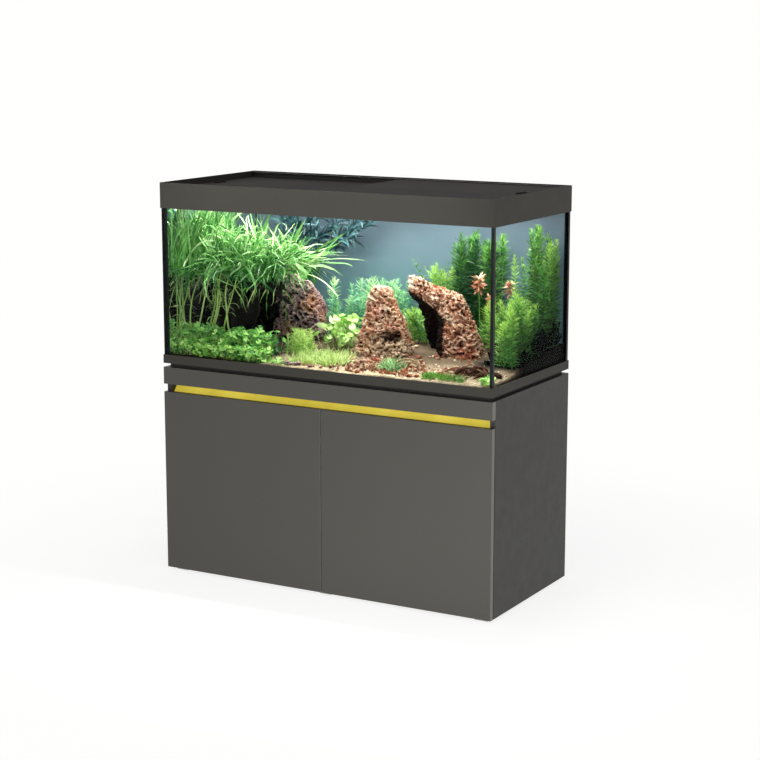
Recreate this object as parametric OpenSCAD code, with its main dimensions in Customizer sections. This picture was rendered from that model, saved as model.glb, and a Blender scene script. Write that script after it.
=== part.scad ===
// Planted aquarium on a two-door cabinet, with sliding covers in its hood.
// The origin is the centre of the footprint on the floor: +X right, +Y back, +Z up.

/* [Overall] */
// Width of the cabinet and of the tank
set_w = 1300; // [1150:10:1500]
// Depth of the cabinet and of the tank
set_d = 600; // [580:10:680]

/* [Cabinet] */
// Height of the feet under the cabinet
foot_h = 12; // [8:1:20]
// Side of a square foot
foot_side = 50; // [40:1:56]
// Distance from the cabinet's faces to a foot
foot_inset = 22; // [19:1:35]
// Height of the doors
door_h = 647; // [580:1:720]
// Thickness of the doors
door_t = 19; // [18:1:22]
// Gap between a closed door and the carcass
door_gap = 3; // [2.5:0.5:4]
// Gap between the two doors
door_split = 3; // [2:0.5:5]
// Height of the finger gap above the doors
grip_gap = 28; // [24:1:36]
// Height of the fascia above the finger gap
fascia_h = 61; // [45:1:90]
// Thickness of the carcass boards
board_t = 19; // [16:1:22]
// Thickness of the back panel
back_t = 8; // [5:1:12]
// Distance of the back panel from the rear edges
back_inset = 10; // [6:1:20]
// Width of a hose and cable cut-out in the back panel
hose_cut_w = 120; // [80:5:160]
// Height of a hose and cable cut-out in the back panel
hose_cut_h = 60; // [40:5:80]
// Chamfer along the visible board edges
edge_break = 0.8; // [0.4:0.1:1.5]

/* [Grip strip] */
// Width of the coloured strip, along its slope
strip_w = 48; // [42:1:52]
// Thickness of the coloured strip
strip_t = 3; // [2:0.5:4]
// Slope of the strip from the horizontal
strip_slope = 51; // [48:1:56]
// Depth of the light channel behind the strip
strip_channel = 11; // [8:1:14]
// Distance from the carcass front to the strip's lower edge
strip_set_in = 5; // [4:1:8]
// Distance of the strip's lower edge below the top of the doors
strip_drop = 14; // [10:1:18]

/* [Hinges] */
// Distance from a door's end to its hinge
hinge_end = 100; // [80:5:150]
// Outer radius of a hinge cup
cup_r = 17.5; // [17.3:0.1:17.8]
// Depth of a hinge cup
cup_depth = 12; // [11.5:0.5:13]
// Distance from the door's outer edge to a cup's rim
cup_edge = 5; // [4.5:0.5:5.5]
// Radius of the hinge pins
pin_r = 1.5; // [1.2:0.1:1.6]
// Running clearance of a pin in its bore
pin_clear = 0.05; // [0.03:0.01:0.1]
// Width of a hinge link along its pins
link_w = 10; // [8:1:11]

/* [Tank] */
// Height of the shadow gap under the tank
plinth_h = 14; // [8:1:24]
// Distance of the plinth behind the cabinet's faces
plinth_inset = 18; // [10:1:30]
// Height of the frame around the foot of the glass
base_h = 31; // [22:1:45]
// Height of the glass panes
glass_h = 570; // [450:5:620]
// Thickness of the glass
glass_t = 12; // [10:1:15]
// Width of the glued joints between panes
silicone_gap = 1; // [0.8:0.1:1.5]
// Leg of the silicone fillet in the upright corners
silicone_leg = 4; // [3:0.5:7]
// Width of the glass brace across the top
brace_w = 100; // [60:5:140]

/* [Hood] */
// Height of the hood frame
hood_h = 90; // [86:1:110]
// Height by which the hood covers the top of the glass
hood_lap = 24; // [16:1:28]
// Wall of the hood and base frames
frame_wall = 3; // [2.5:0.5:4]
// Width of the ledge that rests on the glass
ledge_w = 15; // [12:1:17]
// Thickness of a sliding cover
cover_t = 6; // [4:0.5:6]
// Overlap of the two covers at the middle
cover_lap = 30; // [20:5:60]
// Clearance of a cover in its groove
cover_clear = 0.3; // [0.2:0.05:0.5]
// Depth of the cover grooves
groove_d = 14; // [10:1:16]
// Width of a light bar
light_w = 40; // [32:1:48]
// Height of a light bar
light_h = 25; // [20:1:26]
// Distance of a light bar from the middle of the tank
light_y = 130; // [100:5:160]

/* [Aquascape] */
// Height of the sand at the front, above the bottom pane
sand_front = 14; // [12:1:40]
// Height of the sand at the back, above the bottom pane
sand_back = 72; // [50:1:90]
// Size of the rocks and the driftwood
rock_scale = 1; // [0.9:0.01:1.03]
// Size of the plants
plant_scale = 1; // [0.85:0.01:1.03]

/* [Hidden] */
// Heights of the stack
door_top = foot_h + door_h;
fascia_z = door_top + grip_gap;
cab_top = fascia_z + fascia_h;
tank_z = cab_top + plinth_h;
flange_t = 4;
pane_z = tank_z + flange_t;
bed_z0 = pane_z + glass_t;
glass_top = pane_z + glass_h;
ledge_t = 3;
hood_z = glass_top - hood_lap;
hood_top = hood_z + hood_h;

// Carcass planes
door_front_y = -set_d / 2;
door_back_y = door_front_y + door_t;
carcass_y = door_back_y + door_gap;
rear_y = set_d / 2;
back_y = rear_y - back_inset - back_t;
inner_x = set_w / 2 - board_t;
floor_z = foot_h + board_t;
ceiling_z = cab_top - board_t;
fit_gap = 0.3;

// Grip strip and its carrier
strip_y = carcass_y + strip_set_in;
strip_z = door_top - strip_drop;
carrier_wall = 3;
carrier_lip = 2;
lip_clear = 0.2;
tape_w = 10;
tape_t = 1.5;
notch_back = strip_y + (strip_w + carrier_lip) * cos(strip_slope)
    + (strip_channel + strip_t + carrier_wall) * sin(strip_slope) + 4;
notch_z = strip_z - (strip_channel + strip_t + carrier_wall) * cos(strip_slope) - 6;

// Hinges: places are [distance from the cabinet's side, distance behind the door's back]
cup_c = cup_edge + cup_r;
cup_wall = 1;
arm_pin = [25, 1];
door_pin = [10, -4];
link_crank = [18, -9.3];
link_half = 1.3;
boss_r = 2.5;
arm_half = 1.5;
arm_bend = [26.5, 9];
arm_x = 26;
arm_end = 60;
cheek_t = 2;
cheek_gap = 0.3;
cheek_out = link_w / 2 + cheek_gap + cheek_t;
hinge_z = [foot_h + hinge_end, door_top - hinge_end];

// Panes
pane_x = set_w / 2 - frame_wall;
pane_y = set_d / 2 - frame_wall;
in_x = pane_x - glass_t;
in_y = pane_y - glass_t;

// Hood
track_wall = 3;
track_y = pane_y - track_wall - groove_d;
flange_h = 2;
groove_h = cover_t + 2 * cover_clear;
cover_top_drop = 6;
upper_z = hood_top - cover_top_drop - cover_t;
level_step = 14;
lower_z = upper_z - level_step;
track_z = lower_z - cover_clear - flange_h;
track_top = upper_z + cover_t + cover_clear + flange_h;
cover_end = pane_x - 2;
grip_len = 60;
grip_w = 8;
grip_rise = 3;
light_top = track_z - 2;
light_z = light_top - light_h;
light_half = in_x - 35;
cap_t = 3;
bracket_w = 30;
bracket_t = 3;

// Sand bed: a plane that rises towards the back
sand_gap = 0.5;
slope = atan2(sand_back - sand_front, 2 * (in_y - sand_gap));
seat = 0.3;
// Half width and half depth of the tank that the planting is laid out for, and its stretch
plan_x = 635;
plan_y = 285;
stretch = [in_x / plan_x, in_y / plan_y, 1];
plan_slope = atan(tan(slope) * stretch[1]);
function bed_z(y) = bed_z0 + sand_front + (y + in_y - sand_gap) * tan(slope);

// ---------- helpers ----------

// Extrudes a [y, z] outline along X, centred on the middle plane
module along_x(length) {
    rotate([90, 0, 90]) linear_extrude(length, center = true) children();
}

// A board between two corners
module board(a, b) {
    translate(a) cube(b - a);
}

// A flat rectangle with true round corners, centred
module rounded(w, d, r) {
    square([w - 2 * r, d], center = true);
    square([w, d - 2 * r], center = true);
    for (sx = [-1, 1], sy = [-1, 1])
        translate([sx * (w / 2 - r), sy * (d / 2 - r)]) circle(r, $fn = 32);
}

// A straight bar between two flat points
module bar(p, q, half) {
    v = q - p;
    translate(p) rotate(atan2(v[1], v[0])) translate([0, -half]) square([norm(v), 2 * half]);
}

// Puts its child at both hinge heights of one side; side is -1 left, 1 right
module at_hinges(side) {
    for (z = hinge_z)
        mirror([side > 0 ? 1 : 0, 0, 0]) translate([-set_w / 2, door_back_y, z]) children();
}

// One mitred rail of a rectangular frame, outer face on y = 0, outline in [y, z]
module rail(length, reach) {
    intersection() {
        along_x(length) children();
        linear_extrude(hood_top + 1)
            polygon([[-length / 2, 0], [length / 2, 0],
                [length / 2 - reach, reach], [reach - length / 2, reach]]);
    }
}

// Sends a rail to one of the four sides of the set
module to_front() { translate([0, -set_d / 2, 0]) children(); }
module to_back() { translate([0, set_d / 2, 0]) rotate([0, 0, 180]) children(); }
module to_right() { translate([set_w / 2, 0, 0]) rotate([0, 0, 90]) children(); }
module to_left() { translate([-set_w / 2, 0, 0]) rotate([0, 0, -90]) children(); }

// ---------- cabinet ----------

foot_x = [foot_inset + foot_side / 2 - set_w / 2, 0, set_w / 2 - foot_inset - foot_side / 2];
foot_y = [carcass_y + foot_side / 2 + 2, rear_y - foot_inset - foot_side / 2];
stem_r = 5;
stem_len = 14;

module at_feet() {
    for (x = foot_x, y = foot_y) translate([x, y, 0]) children();
}

module feet() {
    color("lightgray") at_feet() {
        translate([0, 0, 2]) linear_extrude(foot_h - 2) rounded(foot_side, foot_side, 6);
        linear_extrude(2) rounded(foot_side - 3, foot_side - 3, 5);
        cylinder(foot_h + stem_len, r = stem_r, $fn = 32);
    }
}

module cabinet_bottom() {
    color("#4c4b46") difference() {
        board([-inner_x, carcass_y, foot_h], [inner_x, rear_y, floor_z]);
        at_feet() cylinder(foot_h + stem_len + 0.5, r = stem_r + pin_clear, $fn = 32);
    }
}

module side_panel() {
    board([inner_x, carcass_y, foot_h], [set_w / 2, rear_y, cab_top]);
}

module side_panel_left() {
    color("#4c4b46") mirror([1, 0, 0]) side_panel();
}

module side_panel_right() {
    color("#4c4b46") side_panel();
}

// The divider steps back behind the grip strip and the front rail
module centre_divider() {
    color("#4c4b46") along_x(board_t)
        polygon([[carcass_y, floor_z], [back_y, floor_z], [back_y, ceiling_z],
            [notch_back, ceiling_z], [notch_back, notch_z], [carcass_y, notch_z]]);
}

hose_cut_x = inner_x / 2 + 60;
hose_cut_z = notch_z - 20 - hose_cut_h / 2;

module back_panel() {
    color("#3a3935") difference() {
        board([-inner_x, back_y, floor_z], [inner_x, back_y + back_t, ceiling_z]);
        for (sx = [-1, 1])
            translate([sx * hose_cut_x, back_y - 1, hose_cut_z]) rotate([-90, 0, 0])
                linear_extrude(back_t + 2) rounded(hose_cut_w, hose_cut_h, 12);
    }
}

module cabinet_top() {
    color("#55534e") board([-inner_x, carcass_y, ceiling_z], [inner_x, rear_y, cab_top]);
}

module front_rail() {
    color("#4c4b46")
        board([-inner_x, carcass_y, fascia_z], [inner_x, carcass_y + board_t, ceiling_z]);
}

module fascia() {
    y1 = carcass_y;
    y0 = door_front_y;
    c = edge_break;
    color("#55534e") along_x(set_w)
        polygon([[y0 + c, fascia_z], [y1, fascia_z], [y1, cab_top], [y0 + c, cab_top],
            [y0, cab_top - c], [y0, fascia_z + c]]);
}

// Puts a [along the strip, out of the strip] outline on the strip's slope
module on_strip(length) {
    along_x(length) translate([strip_y, strip_z]) rotate(strip_slope) children();
}

module grip_strip() {
    color("#c8b93c") on_strip(2 * inner_x)
        translate([0, -strip_t]) square([strip_w, strip_t]);
}

// Channel section: the strip lies on two rebates over the light channel
module strip_carrier() {
    depth = strip_t + strip_channel;
    rebate = 3;
    color("#2b2a28") on_strip(2 * inner_x) {
        translate([-carrier_lip, -depth - carrier_wall])
            square([strip_w + 2 * carrier_lip, carrier_wall]);
        for (end = [0, 1]) translate([end * strip_w, 0]) mirror([end, 0]) {
            translate([-carrier_lip, -depth]) square([carrier_lip - lip_clear, depth]);
            translate([-lip_clear, -depth]) square([rebate, strip_channel]);
        }
    }
}

module strip_light() {
    color("#f0efe2") on_strip(2 * inner_x - 20) {
        translate([(strip_w - tape_w) / 2, -strip_t - strip_channel])
            square([tape_w, tape_t]);
        translate([strip_w / 2 - 2.5, -strip_t - strip_channel + tape_t]) square([5, 1]);
    }
}

bumper_r = 4;
bumper_z = [foot_h + 60, notch_z - 40];

module door_bumpers() {
    thick = door_gap - fit_gap;
    color("#8c8b86") for (z = bumper_z, sx = [-1, 1])
        translate([sx * (board_t / 2 - bumper_r), carcass_y, z])
            rotate([90, 0, 0]) cylinder(thick, r1 = bumper_r, r2 = bumper_r - 1, $fn = 32);
}

// ---------- concealed hinges ----------

// Plate on the side panel: a block that carries the arm, and two screw wings
module hinge_plate() {
    block = arm_x - arm_half - board_t;
    wing = min(2.5, block);
    translate([board_t, 14, -8]) cube([block, arm_end - 12, 16]);
    translate([board_t, 30, -26]) cube([wing, 16, 52]);
}

module hinge_plates() {
    color("#b9babb") for (side = [-1, 1]) at_hinges(side) hinge_plate();
}

// Arm with two cheeks, and the pin that the link turns on
module hinge_arm() {
    for (s = [-1, 1]) translate([0, 0, s * (cheek_out - cheek_t / 2) - cheek_t / 2])
        linear_extrude(cheek_t) {
            translate(arm_pin) circle(boss_r, $fn = 32);
            bar(arm_pin, arm_bend + [0, 0.5], arm_half);
        }
    translate([0, 0, -cheek_out]) linear_extrude(2 * cheek_out)
        polygon([[arm_bend[0] - arm_half, arm_bend[1] - 0.5],
            [arm_bend[0] + arm_half, arm_bend[1] - 0.5],
            [arm_x + arm_half, 14], [arm_x + arm_half, arm_end],
            [arm_x - arm_half, arm_end], [arm_x - arm_half, 14]]);
    translate([arm_pin[0], arm_pin[1], -cheek_out]) cylinder(2 * cheek_out, r = pin_r, $fn = 32);
}

module hinge_arms() {
    color("#c4c5c6") for (side = [-1, 1]) at_hinges(side) hinge_arm();
}

// Cranked link with a bore at each end
module hinge_link() {
    translate([0, 0, -link_w / 2]) linear_extrude(link_w) difference() {
        union() {
            bar(arm_pin, link_crank, link_half);
            bar(link_crank, door_pin, link_half);
            translate(link_crank) circle(link_half, $fn = 32);
            for (p = [arm_pin, door_pin]) translate(p) circle(boss_r, $fn = 32);
        }
        for (p = [arm_pin, door_pin]) translate(p) circle(pin_r + pin_clear, $fn = 32);
    }
}

module hinge_links_left() {
    color("#aeb0b2") at_hinges(-1) hinge_link();
}

module hinge_links_right() {
    color("#aeb0b2") at_hinges(1) hinge_link();
}

// Cup with a flange on the door's back, and the pin that the link carries
module hinge_cup() {
    in_r = cup_r - cup_wall;
    rim = 1.2;
    pin_half = sqrt(in_r * in_r - pow(cup_c - door_pin[0] + pin_r, 2)) + 1;
    difference() {
        union() {
            translate([cup_c, 0, 0]) rotate([90, 0, 0]) cylinder(cup_depth, r = cup_r, $fn = 64);
            translate([cup_c + 3.5, rim, 0]) rotate([90, 0, 0]) linear_extrude(rim)
                rounded(24, 56, 5);
        }
        translate([cup_c, rim + 1, 0]) rotate([90, 0, 0])
            cylinder(cup_depth + rim + 1 - cup_wall, r = in_r, $fn = 64);
    }
    translate([door_pin[0], door_pin[1], -pin_half]) cylinder(2 * pin_half, r = pin_r, $fn = 32);
}

module hinge_cups_left() {
    color("#c4c5c6") at_hinges(-1) hinge_cup();
}

module hinge_cups_right() {
    color("#c4c5c6") at_hinges(1) hinge_cup();
}

// ---------- doors ----------

// Left door: chamfered board with a blind bore for each hinge cup
module door_panel() {
    x0 = -set_w / 2;
    x1 = -door_split / 2;
    c = edge_break;
    y0 = door_front_y;
    y1 = door_back_y;
    difference() {
        intersection() {
            translate([0, 0, foot_h]) linear_extrude(door_h)
                polygon([[x0 + c, y0], [x1 - c, y0], [x1, y0 + c], [x1, y1],
                    [x0 + c, y1], [x0, y1 - c], [x0, y0 + c]]);
            translate([x0 / 2, 0, 0]) along_x(set_w)
                polygon([[y0 + c, foot_h], [y1, foot_h], [y1, door_top], [y0 + c, door_top],
                    [y0, door_top - c], [y0, foot_h + c]]);
        }
        at_hinges(-1) translate([cup_c, 1, 0]) rotate([90, 0, 0])
            cylinder(cup_depth + 1, r = cup_r + pin_clear, $fn = 64);
    }
}

module door_left() {
    color("#4d4c47") door_panel();
}

module door_right() {
    color("#5f5e59") mirror([1, 0, 0]) door_panel();
}

// ---------- tank ----------

module plinth() {
    x = set_w / 2 - plinth_inset;
    y = set_d / 2 - plinth_inset;
    color("#1c1b1a") board([-x, -y, cab_top], [x, y, tank_z]);
}

flange_w = 40;

module safety_mat() {
    x = set_w / 2 - flange_w - fit_gap;
    y = set_d / 2 - flange_w - fit_gap;
    color("#33373a") board([-x, -y, tank_z], [x, y, pane_z]);
}

// Outline of the base frame: an outer wall and a flange under the panes
module base_outline() {
    c = edge_break;
    translate([0, tank_z]) polygon([[c, 0], [flange_w, 0], [flange_w, flange_t],
        [frame_wall, flange_t], [frame_wall, base_h], [c, base_h], [0, base_h - c], [0, c]]);
}

module base_frame_front() {
    color("#55534e") to_front() rail(set_w, flange_w) base_outline();
}

module base_frame_back() {
    color("#55534e") to_back() rail(set_w, flange_w) base_outline();
}

module base_frame_left() {
    color("#55534e") to_left() rail(set_d, flange_w) base_outline();
}

module base_frame_right() {
    color("#55534e") to_right() rail(set_d, flange_w) base_outline();
}

module glass_bottom() {
    x = in_x - silicone_gap;
    y = in_y - silicone_gap;
    color("#a8cfc6", 0.4) board([-x, -y, pane_z], [x, y, bed_z0]);
}

module glass_front() {
    color("#a8cfc6", 0.4) board([-pane_x, -pane_y, pane_z], [pane_x, -in_y, glass_top]);
}

module glass_back() {
    color("#a8cfc6", 0.4) board([-pane_x, in_y, pane_z], [pane_x, pane_y, glass_top]);
}

module side_pane() {
    y = in_y - silicone_gap;
    board([in_x, -y, pane_z], [pane_x, y, glass_top]);
}

module glass_left() {
    color("#a8cfc6", 0.4) mirror([1, 0, 0]) side_pane();
}

module glass_right() {
    color("#a8cfc6", 0.4) side_pane();
}

module glass_brace() {
    y = in_y - fit_gap;
    color("#a8cfc6", 0.4)
        board([-brace_w / 2, -y, glass_top - glass_t], [brace_w / 2, y, glass_top]);
}

// Glued joints: one in each upright corner and one around the bottom pane
module silicone_seams() {
    g = silicone_gap;
    s = silicone_leg;
    color("#161616") {
        for (sx = [0, 1], sy = [0, 1]) mirror([sx, 0, 0]) mirror([0, sy, 0]) {
            board([-pane_x, -in_y, pane_z], [-in_x, -in_y + g, glass_top]);
            translate([0, 0, bed_z0]) linear_extrude(glass_top - bed_z0)
                polygon([[-in_x, -in_y], [-in_x + s, -in_y], [-in_x, -in_y + s]]);
        }
        translate([0, 0, pane_z]) linear_extrude(glass_t) difference() {
            square([2 * in_x, 2 * in_y], center = true);
            square([2 * (in_x - g), 2 * (in_y - g)], center = true);
        }
    }
}

module background_panel() {
    x = pane_x - 6;
    color("#8fa9bf") board([-x, pane_y, tank_z + base_h + 1], [x, pane_y + 2, hood_z - 1]);
}

// ---------- hood ----------

// Outline of the hood frame: an outer wall and a ledge on the top of the glass
module hood_outline() {
    c = edge_break;
    w = frame_wall;
    polygon([[0, hood_z + c], [c, hood_z], [w, hood_z], [w, glass_top], [ledge_w, glass_top],
        [ledge_w, glass_top + ledge_t], [w, glass_top + ledge_t], [w, hood_top - c],
        [w - c, hood_top], [c, hood_top], [0, hood_top - c]]);
}

module hood_front() {
    color("#55534e") to_front() rail(set_w, ledge_w) hood_outline();
}

hose_slot_w = 70;
hose_slot_h = 20;
hose_slot_x = set_w / 2 - 130;

// The rear rail has a slot for hoses and cables near each end
module hood_back() {
    z = (glass_top + ledge_t + track_z) / 2;
    color("#55534e") difference() {
        to_back() rail(set_w, ledge_w) hood_outline();
        for (sx = [-1, 1])
            translate([sx * hose_slot_x, set_d / 2 - frame_wall - 1, z]) rotate([-90, 0, 0])
                linear_extrude(frame_wall + 2) rounded(hose_slot_w, hose_slot_h, 8);
    }
}

module hood_left() {
    color("#55534e") to_left() rail(set_d, ledge_w) hood_outline();
}

module hood_right() {
    color("#55534e") to_right() rail(set_d, ledge_w) hood_outline();
}

// Two-groove track: the lower groove carries the left cover, the upper the right one
module track() {
    y0 = -pane_y;
    y1 = -track_y;
    yg = y0 + track_wall;
    color("#2a2725") along_x(2 * pane_x) difference() {
        translate([y0, track_z]) square([y1 - y0, track_top - track_z]);
        for (z = [lower_z, upper_z])
            translate([yg, z - cover_clear]) square([groove_d + 1, groove_h]);
    }
}

module track_front() {
    track();
}

module track_back() {
    mirror([0, 1, 0]) track();
}

// Cover panel in its groove, with a low finger pull near its outer end
module cover(x_in, x_out, z) {
    y = pane_y - track_wall - 2 * fit_gap;
    len = abs(x_out - x_in);
    mid = (x_in + x_out) / 2;
    pull_x = x_out - sign(x_out) * 45;
    color("#241d1c") {
        translate([mid, 0, z]) linear_extrude(cover_t) rounded(len, 2 * y, 2);
        difference() {
            translate([pull_x, 0, z + cover_t]) linear_extrude(grip_rise)
                rounded(grip_w + 8, grip_len, 4);
            translate([pull_x, 0, z + cover_t + 1]) linear_extrude(grip_rise)
                rounded(grip_w, grip_len - 8, 2);
        }
    }
}

module cover_left() {
    cover(cover_lap / 2, -cover_end, lower_z);
}

module cover_right() {
    cover(-cover_lap / 2, cover_end, upper_z);
}

// Extruded light housing: cooling fins on top, side grooves, a seat for the diffuser below
fin_n = 7;
fin_d = 5;
seat_h = 3;

module light_outline() {
    pitch = (light_w - 4) / fin_n;
    difference() {
        translate([-light_w / 2, 0]) square([light_w, light_h]);
        for (i = [0 : fin_n - 1])
            translate([-light_w / 2 + 2 + (i + 0.25) * pitch, light_h - fin_d])
                square([pitch / 2, fin_d + 1]);
        for (s = [-1, 1])
            translate([s * light_w / 2 - 1.5, light_h / 2 - 2]) square([3, 4]);
        translate([3 - light_w / 2, -1]) square([light_w - 6, seat_h + 1]);
    }
}

module at_lights() {
    for (s = [-1, 1]) translate([0, s * light_y, light_z]) children();
}

module light_housings() {
    color("#a9abad") at_lights() along_x(2 * light_half) light_outline();
}

module light_diffusers() {
    color("#eef0ea") at_lights() along_x(2 * light_half)
        translate([3 - light_w / 2, 0]) square([light_w - 6, seat_h]);
}

module light_end_caps() {
    color("#2a2a2a") at_lights() for (s = [0, 1]) mirror([s, 0, 0])
        translate([light_half, 0, light_h / 2]) rotate([90, 0, 90]) linear_extrude(cap_t)
            rounded(light_w, light_h, 3);
}

// Cranked bracket from an end cap down to the hood's side ledge
module light_brackets() {
    x0 = light_half + cap_t;
    x1 = pane_x - 1;
    z0 = glass_top + ledge_t - light_z;
    mid = light_h / 2;
    color("#55534e") at_lights() for (s = [0, 1]) mirror([s, 0, 0])
        rotate([90, 0, 0]) linear_extrude(bracket_w, center = true)
            polygon([[x0, 2], [x0 + bracket_t, 2], [x0 + bracket_t, mid - bracket_t],
                [in_x - 4, mid - bracket_t], [in_x - 4, z0], [x1, z0], [x1, z0 + bracket_t],
                [in_x - 4 + bracket_t, z0 + bracket_t], [in_x - 4 + bracket_t, mid],
                [x0 + bracket_t, mid], [x0 + bracket_t, light_h - 2], [x0, light_h - 2]]);
}

// ---------- sand, rocks and driftwood ----------

// Puts a child's base on the sand, tilted with it; the layout stretches with the tank
module on_bed(x, y) {
    scale(stretch) translate([x, y, bed_z(y * stretch[1])]) rotate([plan_slope, 0, 0]) children();
}

// Cuts what is below the seat, so that a rock stands flat on the sand
module seated() {
    difference() {
        children();
        translate([-400, -400, -200]) cube([800, 800, 200 + seat]);
    }
}

// A rounded lump for rocks and wood
module lump(p, r, turn = 0, n = 9) {
    translate(p) rotate([turn, turn * 1.7, turn * 2.3]) sphere(r, $fn = n);
}

module sand_bed() {
    x = in_x - sand_gap;
    y = in_y - sand_gap;
    c = silicone_leg;
    z = bed_z0 + fit_gap / 3;
    color("#d8c19c") intersection() {
        along_x(2 * x) polygon([[-y, z], [y, z], [y, bed_z(y)], [-y, bed_z(-y)]]);
        linear_extrude(glass_top) polygon([
            [c - x, -y], [x - c, -y], [x, c - y], [x, y - c],
            [x - c, y], [c - x, y], [-x, y - c], [-x, c - y]]);
    }
}

// Hull over a list of [position, radius] lumps
module boulder(lumps) {
    hull() for (i = [0 : len(lumps) - 1]) lump(lumps[i][0], lumps[i][1], 11 * i);
}

module rock_left() {
    color("#6d4c46") on_bed(-325, 105) scale(rock_scale) seated() {
        boulder([[[-85, -35, 15], 42], [[-70, 45, 15], 38], [[85, -30, 20], 38],
            [[75, 40, 20], 40], [[-20, 5, 110], 62], [[45, 5, 100], 58]]);
        boulder([[[-45, 0, 110], 50], [[-35, -5, 200], 36], [[20, 15, 130], 50]]);
        boulder([[[30, 0, 90], 55], [[25, 0, 175], 34], [[55, 15, 120], 38]]);
    }
}

module rock_centre() {
    color("#b08a72") on_bed(112, -45) scale(rock_scale) seated() difference() {
        union() {
            boulder([[[-72, -45, 15], 32], [[-66, 45, 15], 34], [[66, -42, 12], 28],
                [[58, 44, 18], 32], [[-20, 0, 120], 52], [[30, 0, 110], 48]]);
            boulder([[[-30, 0, 110], 52], [[-22, 5, 218], 30], [[10, 0, 214], 30],
                [[36, 6, 100], 44]]);
        }
        boulder([[[26, -60, 84], 17], [[90, -48, 80], 24], [[56, -40, 84], 24]]);
        boulder([[[-46, -62, 150], 12], [[-30, -58, 152], 11]]);
    }
}

module rock_arch() {
    color("#a2674f") on_bed(395, 30) scale(rock_scale) seated() {
        // right-hand column
        boulder([[[-72, -36, 12], 32], [[26, -34, 12], 30], [[10, 36, 18], 30],
            [[-56, 46, 18], 32], [[-20, 4, 100], 46], [[-62, 0, 112], 42]]);
        boulder([[[-62, 2, 100], 44], [[-22, 6, 100], 44], [[-82, 8, 192], 36],
            [[-50, 8, 184], 38], [[-32, 10, 158], 34]]);
        // slab that leans out to the left
        boulder([[[-98, 10, 196], 36], [[-84, 14, 176], 32], [[-212, 8, 258], 15],
            [[-200, 8, 208], 24], [[-152, 4, 190], 22]]);
        // thin leg behind the cave
        boulder([[[-200, 42, 200], 17], [[-166, 52, 200], 20], [[-166, 68, 8], 18],
            [[-128, 70, 8], 16]]);
    }
}

// A few loose stones and a dark slab in the rear corner
module small_stones() {
    color("#7c4a3c") {
        for (s = [[-152, -262, 15, 0], [-118, -255, 11, 40], [-62, -266, 9, 70],
                [470, -245, 12, 20], [505, -250, 16, 55], [548, -232, 12, 85]])
            on_bed(s[0], s[1]) scale(rock_scale) seated()
                scale([1.4, 1, 0.8]) lump([0, 0, 5], s[2], s[3], 7);
        on_bed(535, 245) scale(rock_scale) seated() boulder([[[-55, 0, 10], 22],
            [[55, -4, 10], 24], [[50, 5, 130], 16], [[10, 6, 110], 15]]);
    }
}

// Straight branch between two points, thinner at its end
module branch(p, q, r0, r1) {
    hull() {
        lump(p, r0, 20, 6);
        lump(q, r1, 50, 6);
    }
}

wood_x = -475;
wood_y = -42;
perch_a = [-85, -48, 212];
perch_b = [215, -48, 232];
perch_r = 16;

// Stump with roots, a root wall behind it, and a long branch that the fern grows on
module driftwood() {
    color("#2e241d") on_bed(wood_x, wood_y) scale(rock_scale) seated() {
        branch([0, 0, 10], [-5, -12, 120], 50, 38);
        branch([-5, -12, 120], [0, -46, perch_a[2] - 4], 38, 22);
        branch([10, 0, 60], [60, -8, 130], 38, 24);
        branch([60, -8, 130], [95, -46, perch_b[2] - 18], 24, 16);
        branch([10, -5, 40], [88, -18, 6], 26, 12);
        branch([0, -10, 40], [30, -62, 4], 24, 10);
        hull() {
            lump([-92, 0, 10], 30, 20, 6);
            lump([-86, 130, 10], 34, 40, 6);
            lump([-42, 90, 14], 28, 60, 6);
            lump([-84, 20, 150], 28, 10, 6);
            lump([-80, 100, 172], 26, 30, 6);
        }
        hull() {
            translate(perch_a) rotate([0, 90, 0]) cylinder(2, r = perch_r, $fn = 10);
            translate(perch_b) rotate([0, 90, 0]) cylinder(2, r = perch_r, $fn = 10);
        }
        branch([150, -46, perch_b[2] - 10], [225, -30, perch_b[2] - 68], 14, 7);
    }
}

// ---------- plants ----------

golden = 137.5;

// A lance-shaped leaf: rises at an angle, widest before its middle and pointed
module leaf(length, width, lift, turn, thick = 2.4) {
    half = width / 2;
    rotate([0, -lift, turn]) hull() linear_extrude(thick, center = true)
        polygon([[0, -half / 3], [length * 0.4, -half], [length, 0],
            [length * 0.4, half], [0, half / 3]]);
}

// A strand through a list of points
module strand(points, r) {
    for (i = [1 : len(points) - 1]) hull() {
        translate(points[i - 1]) sphere(r, $fn = 5);
        translate(points[i]) sphere(r, $fn = 5);
    }
}

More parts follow.
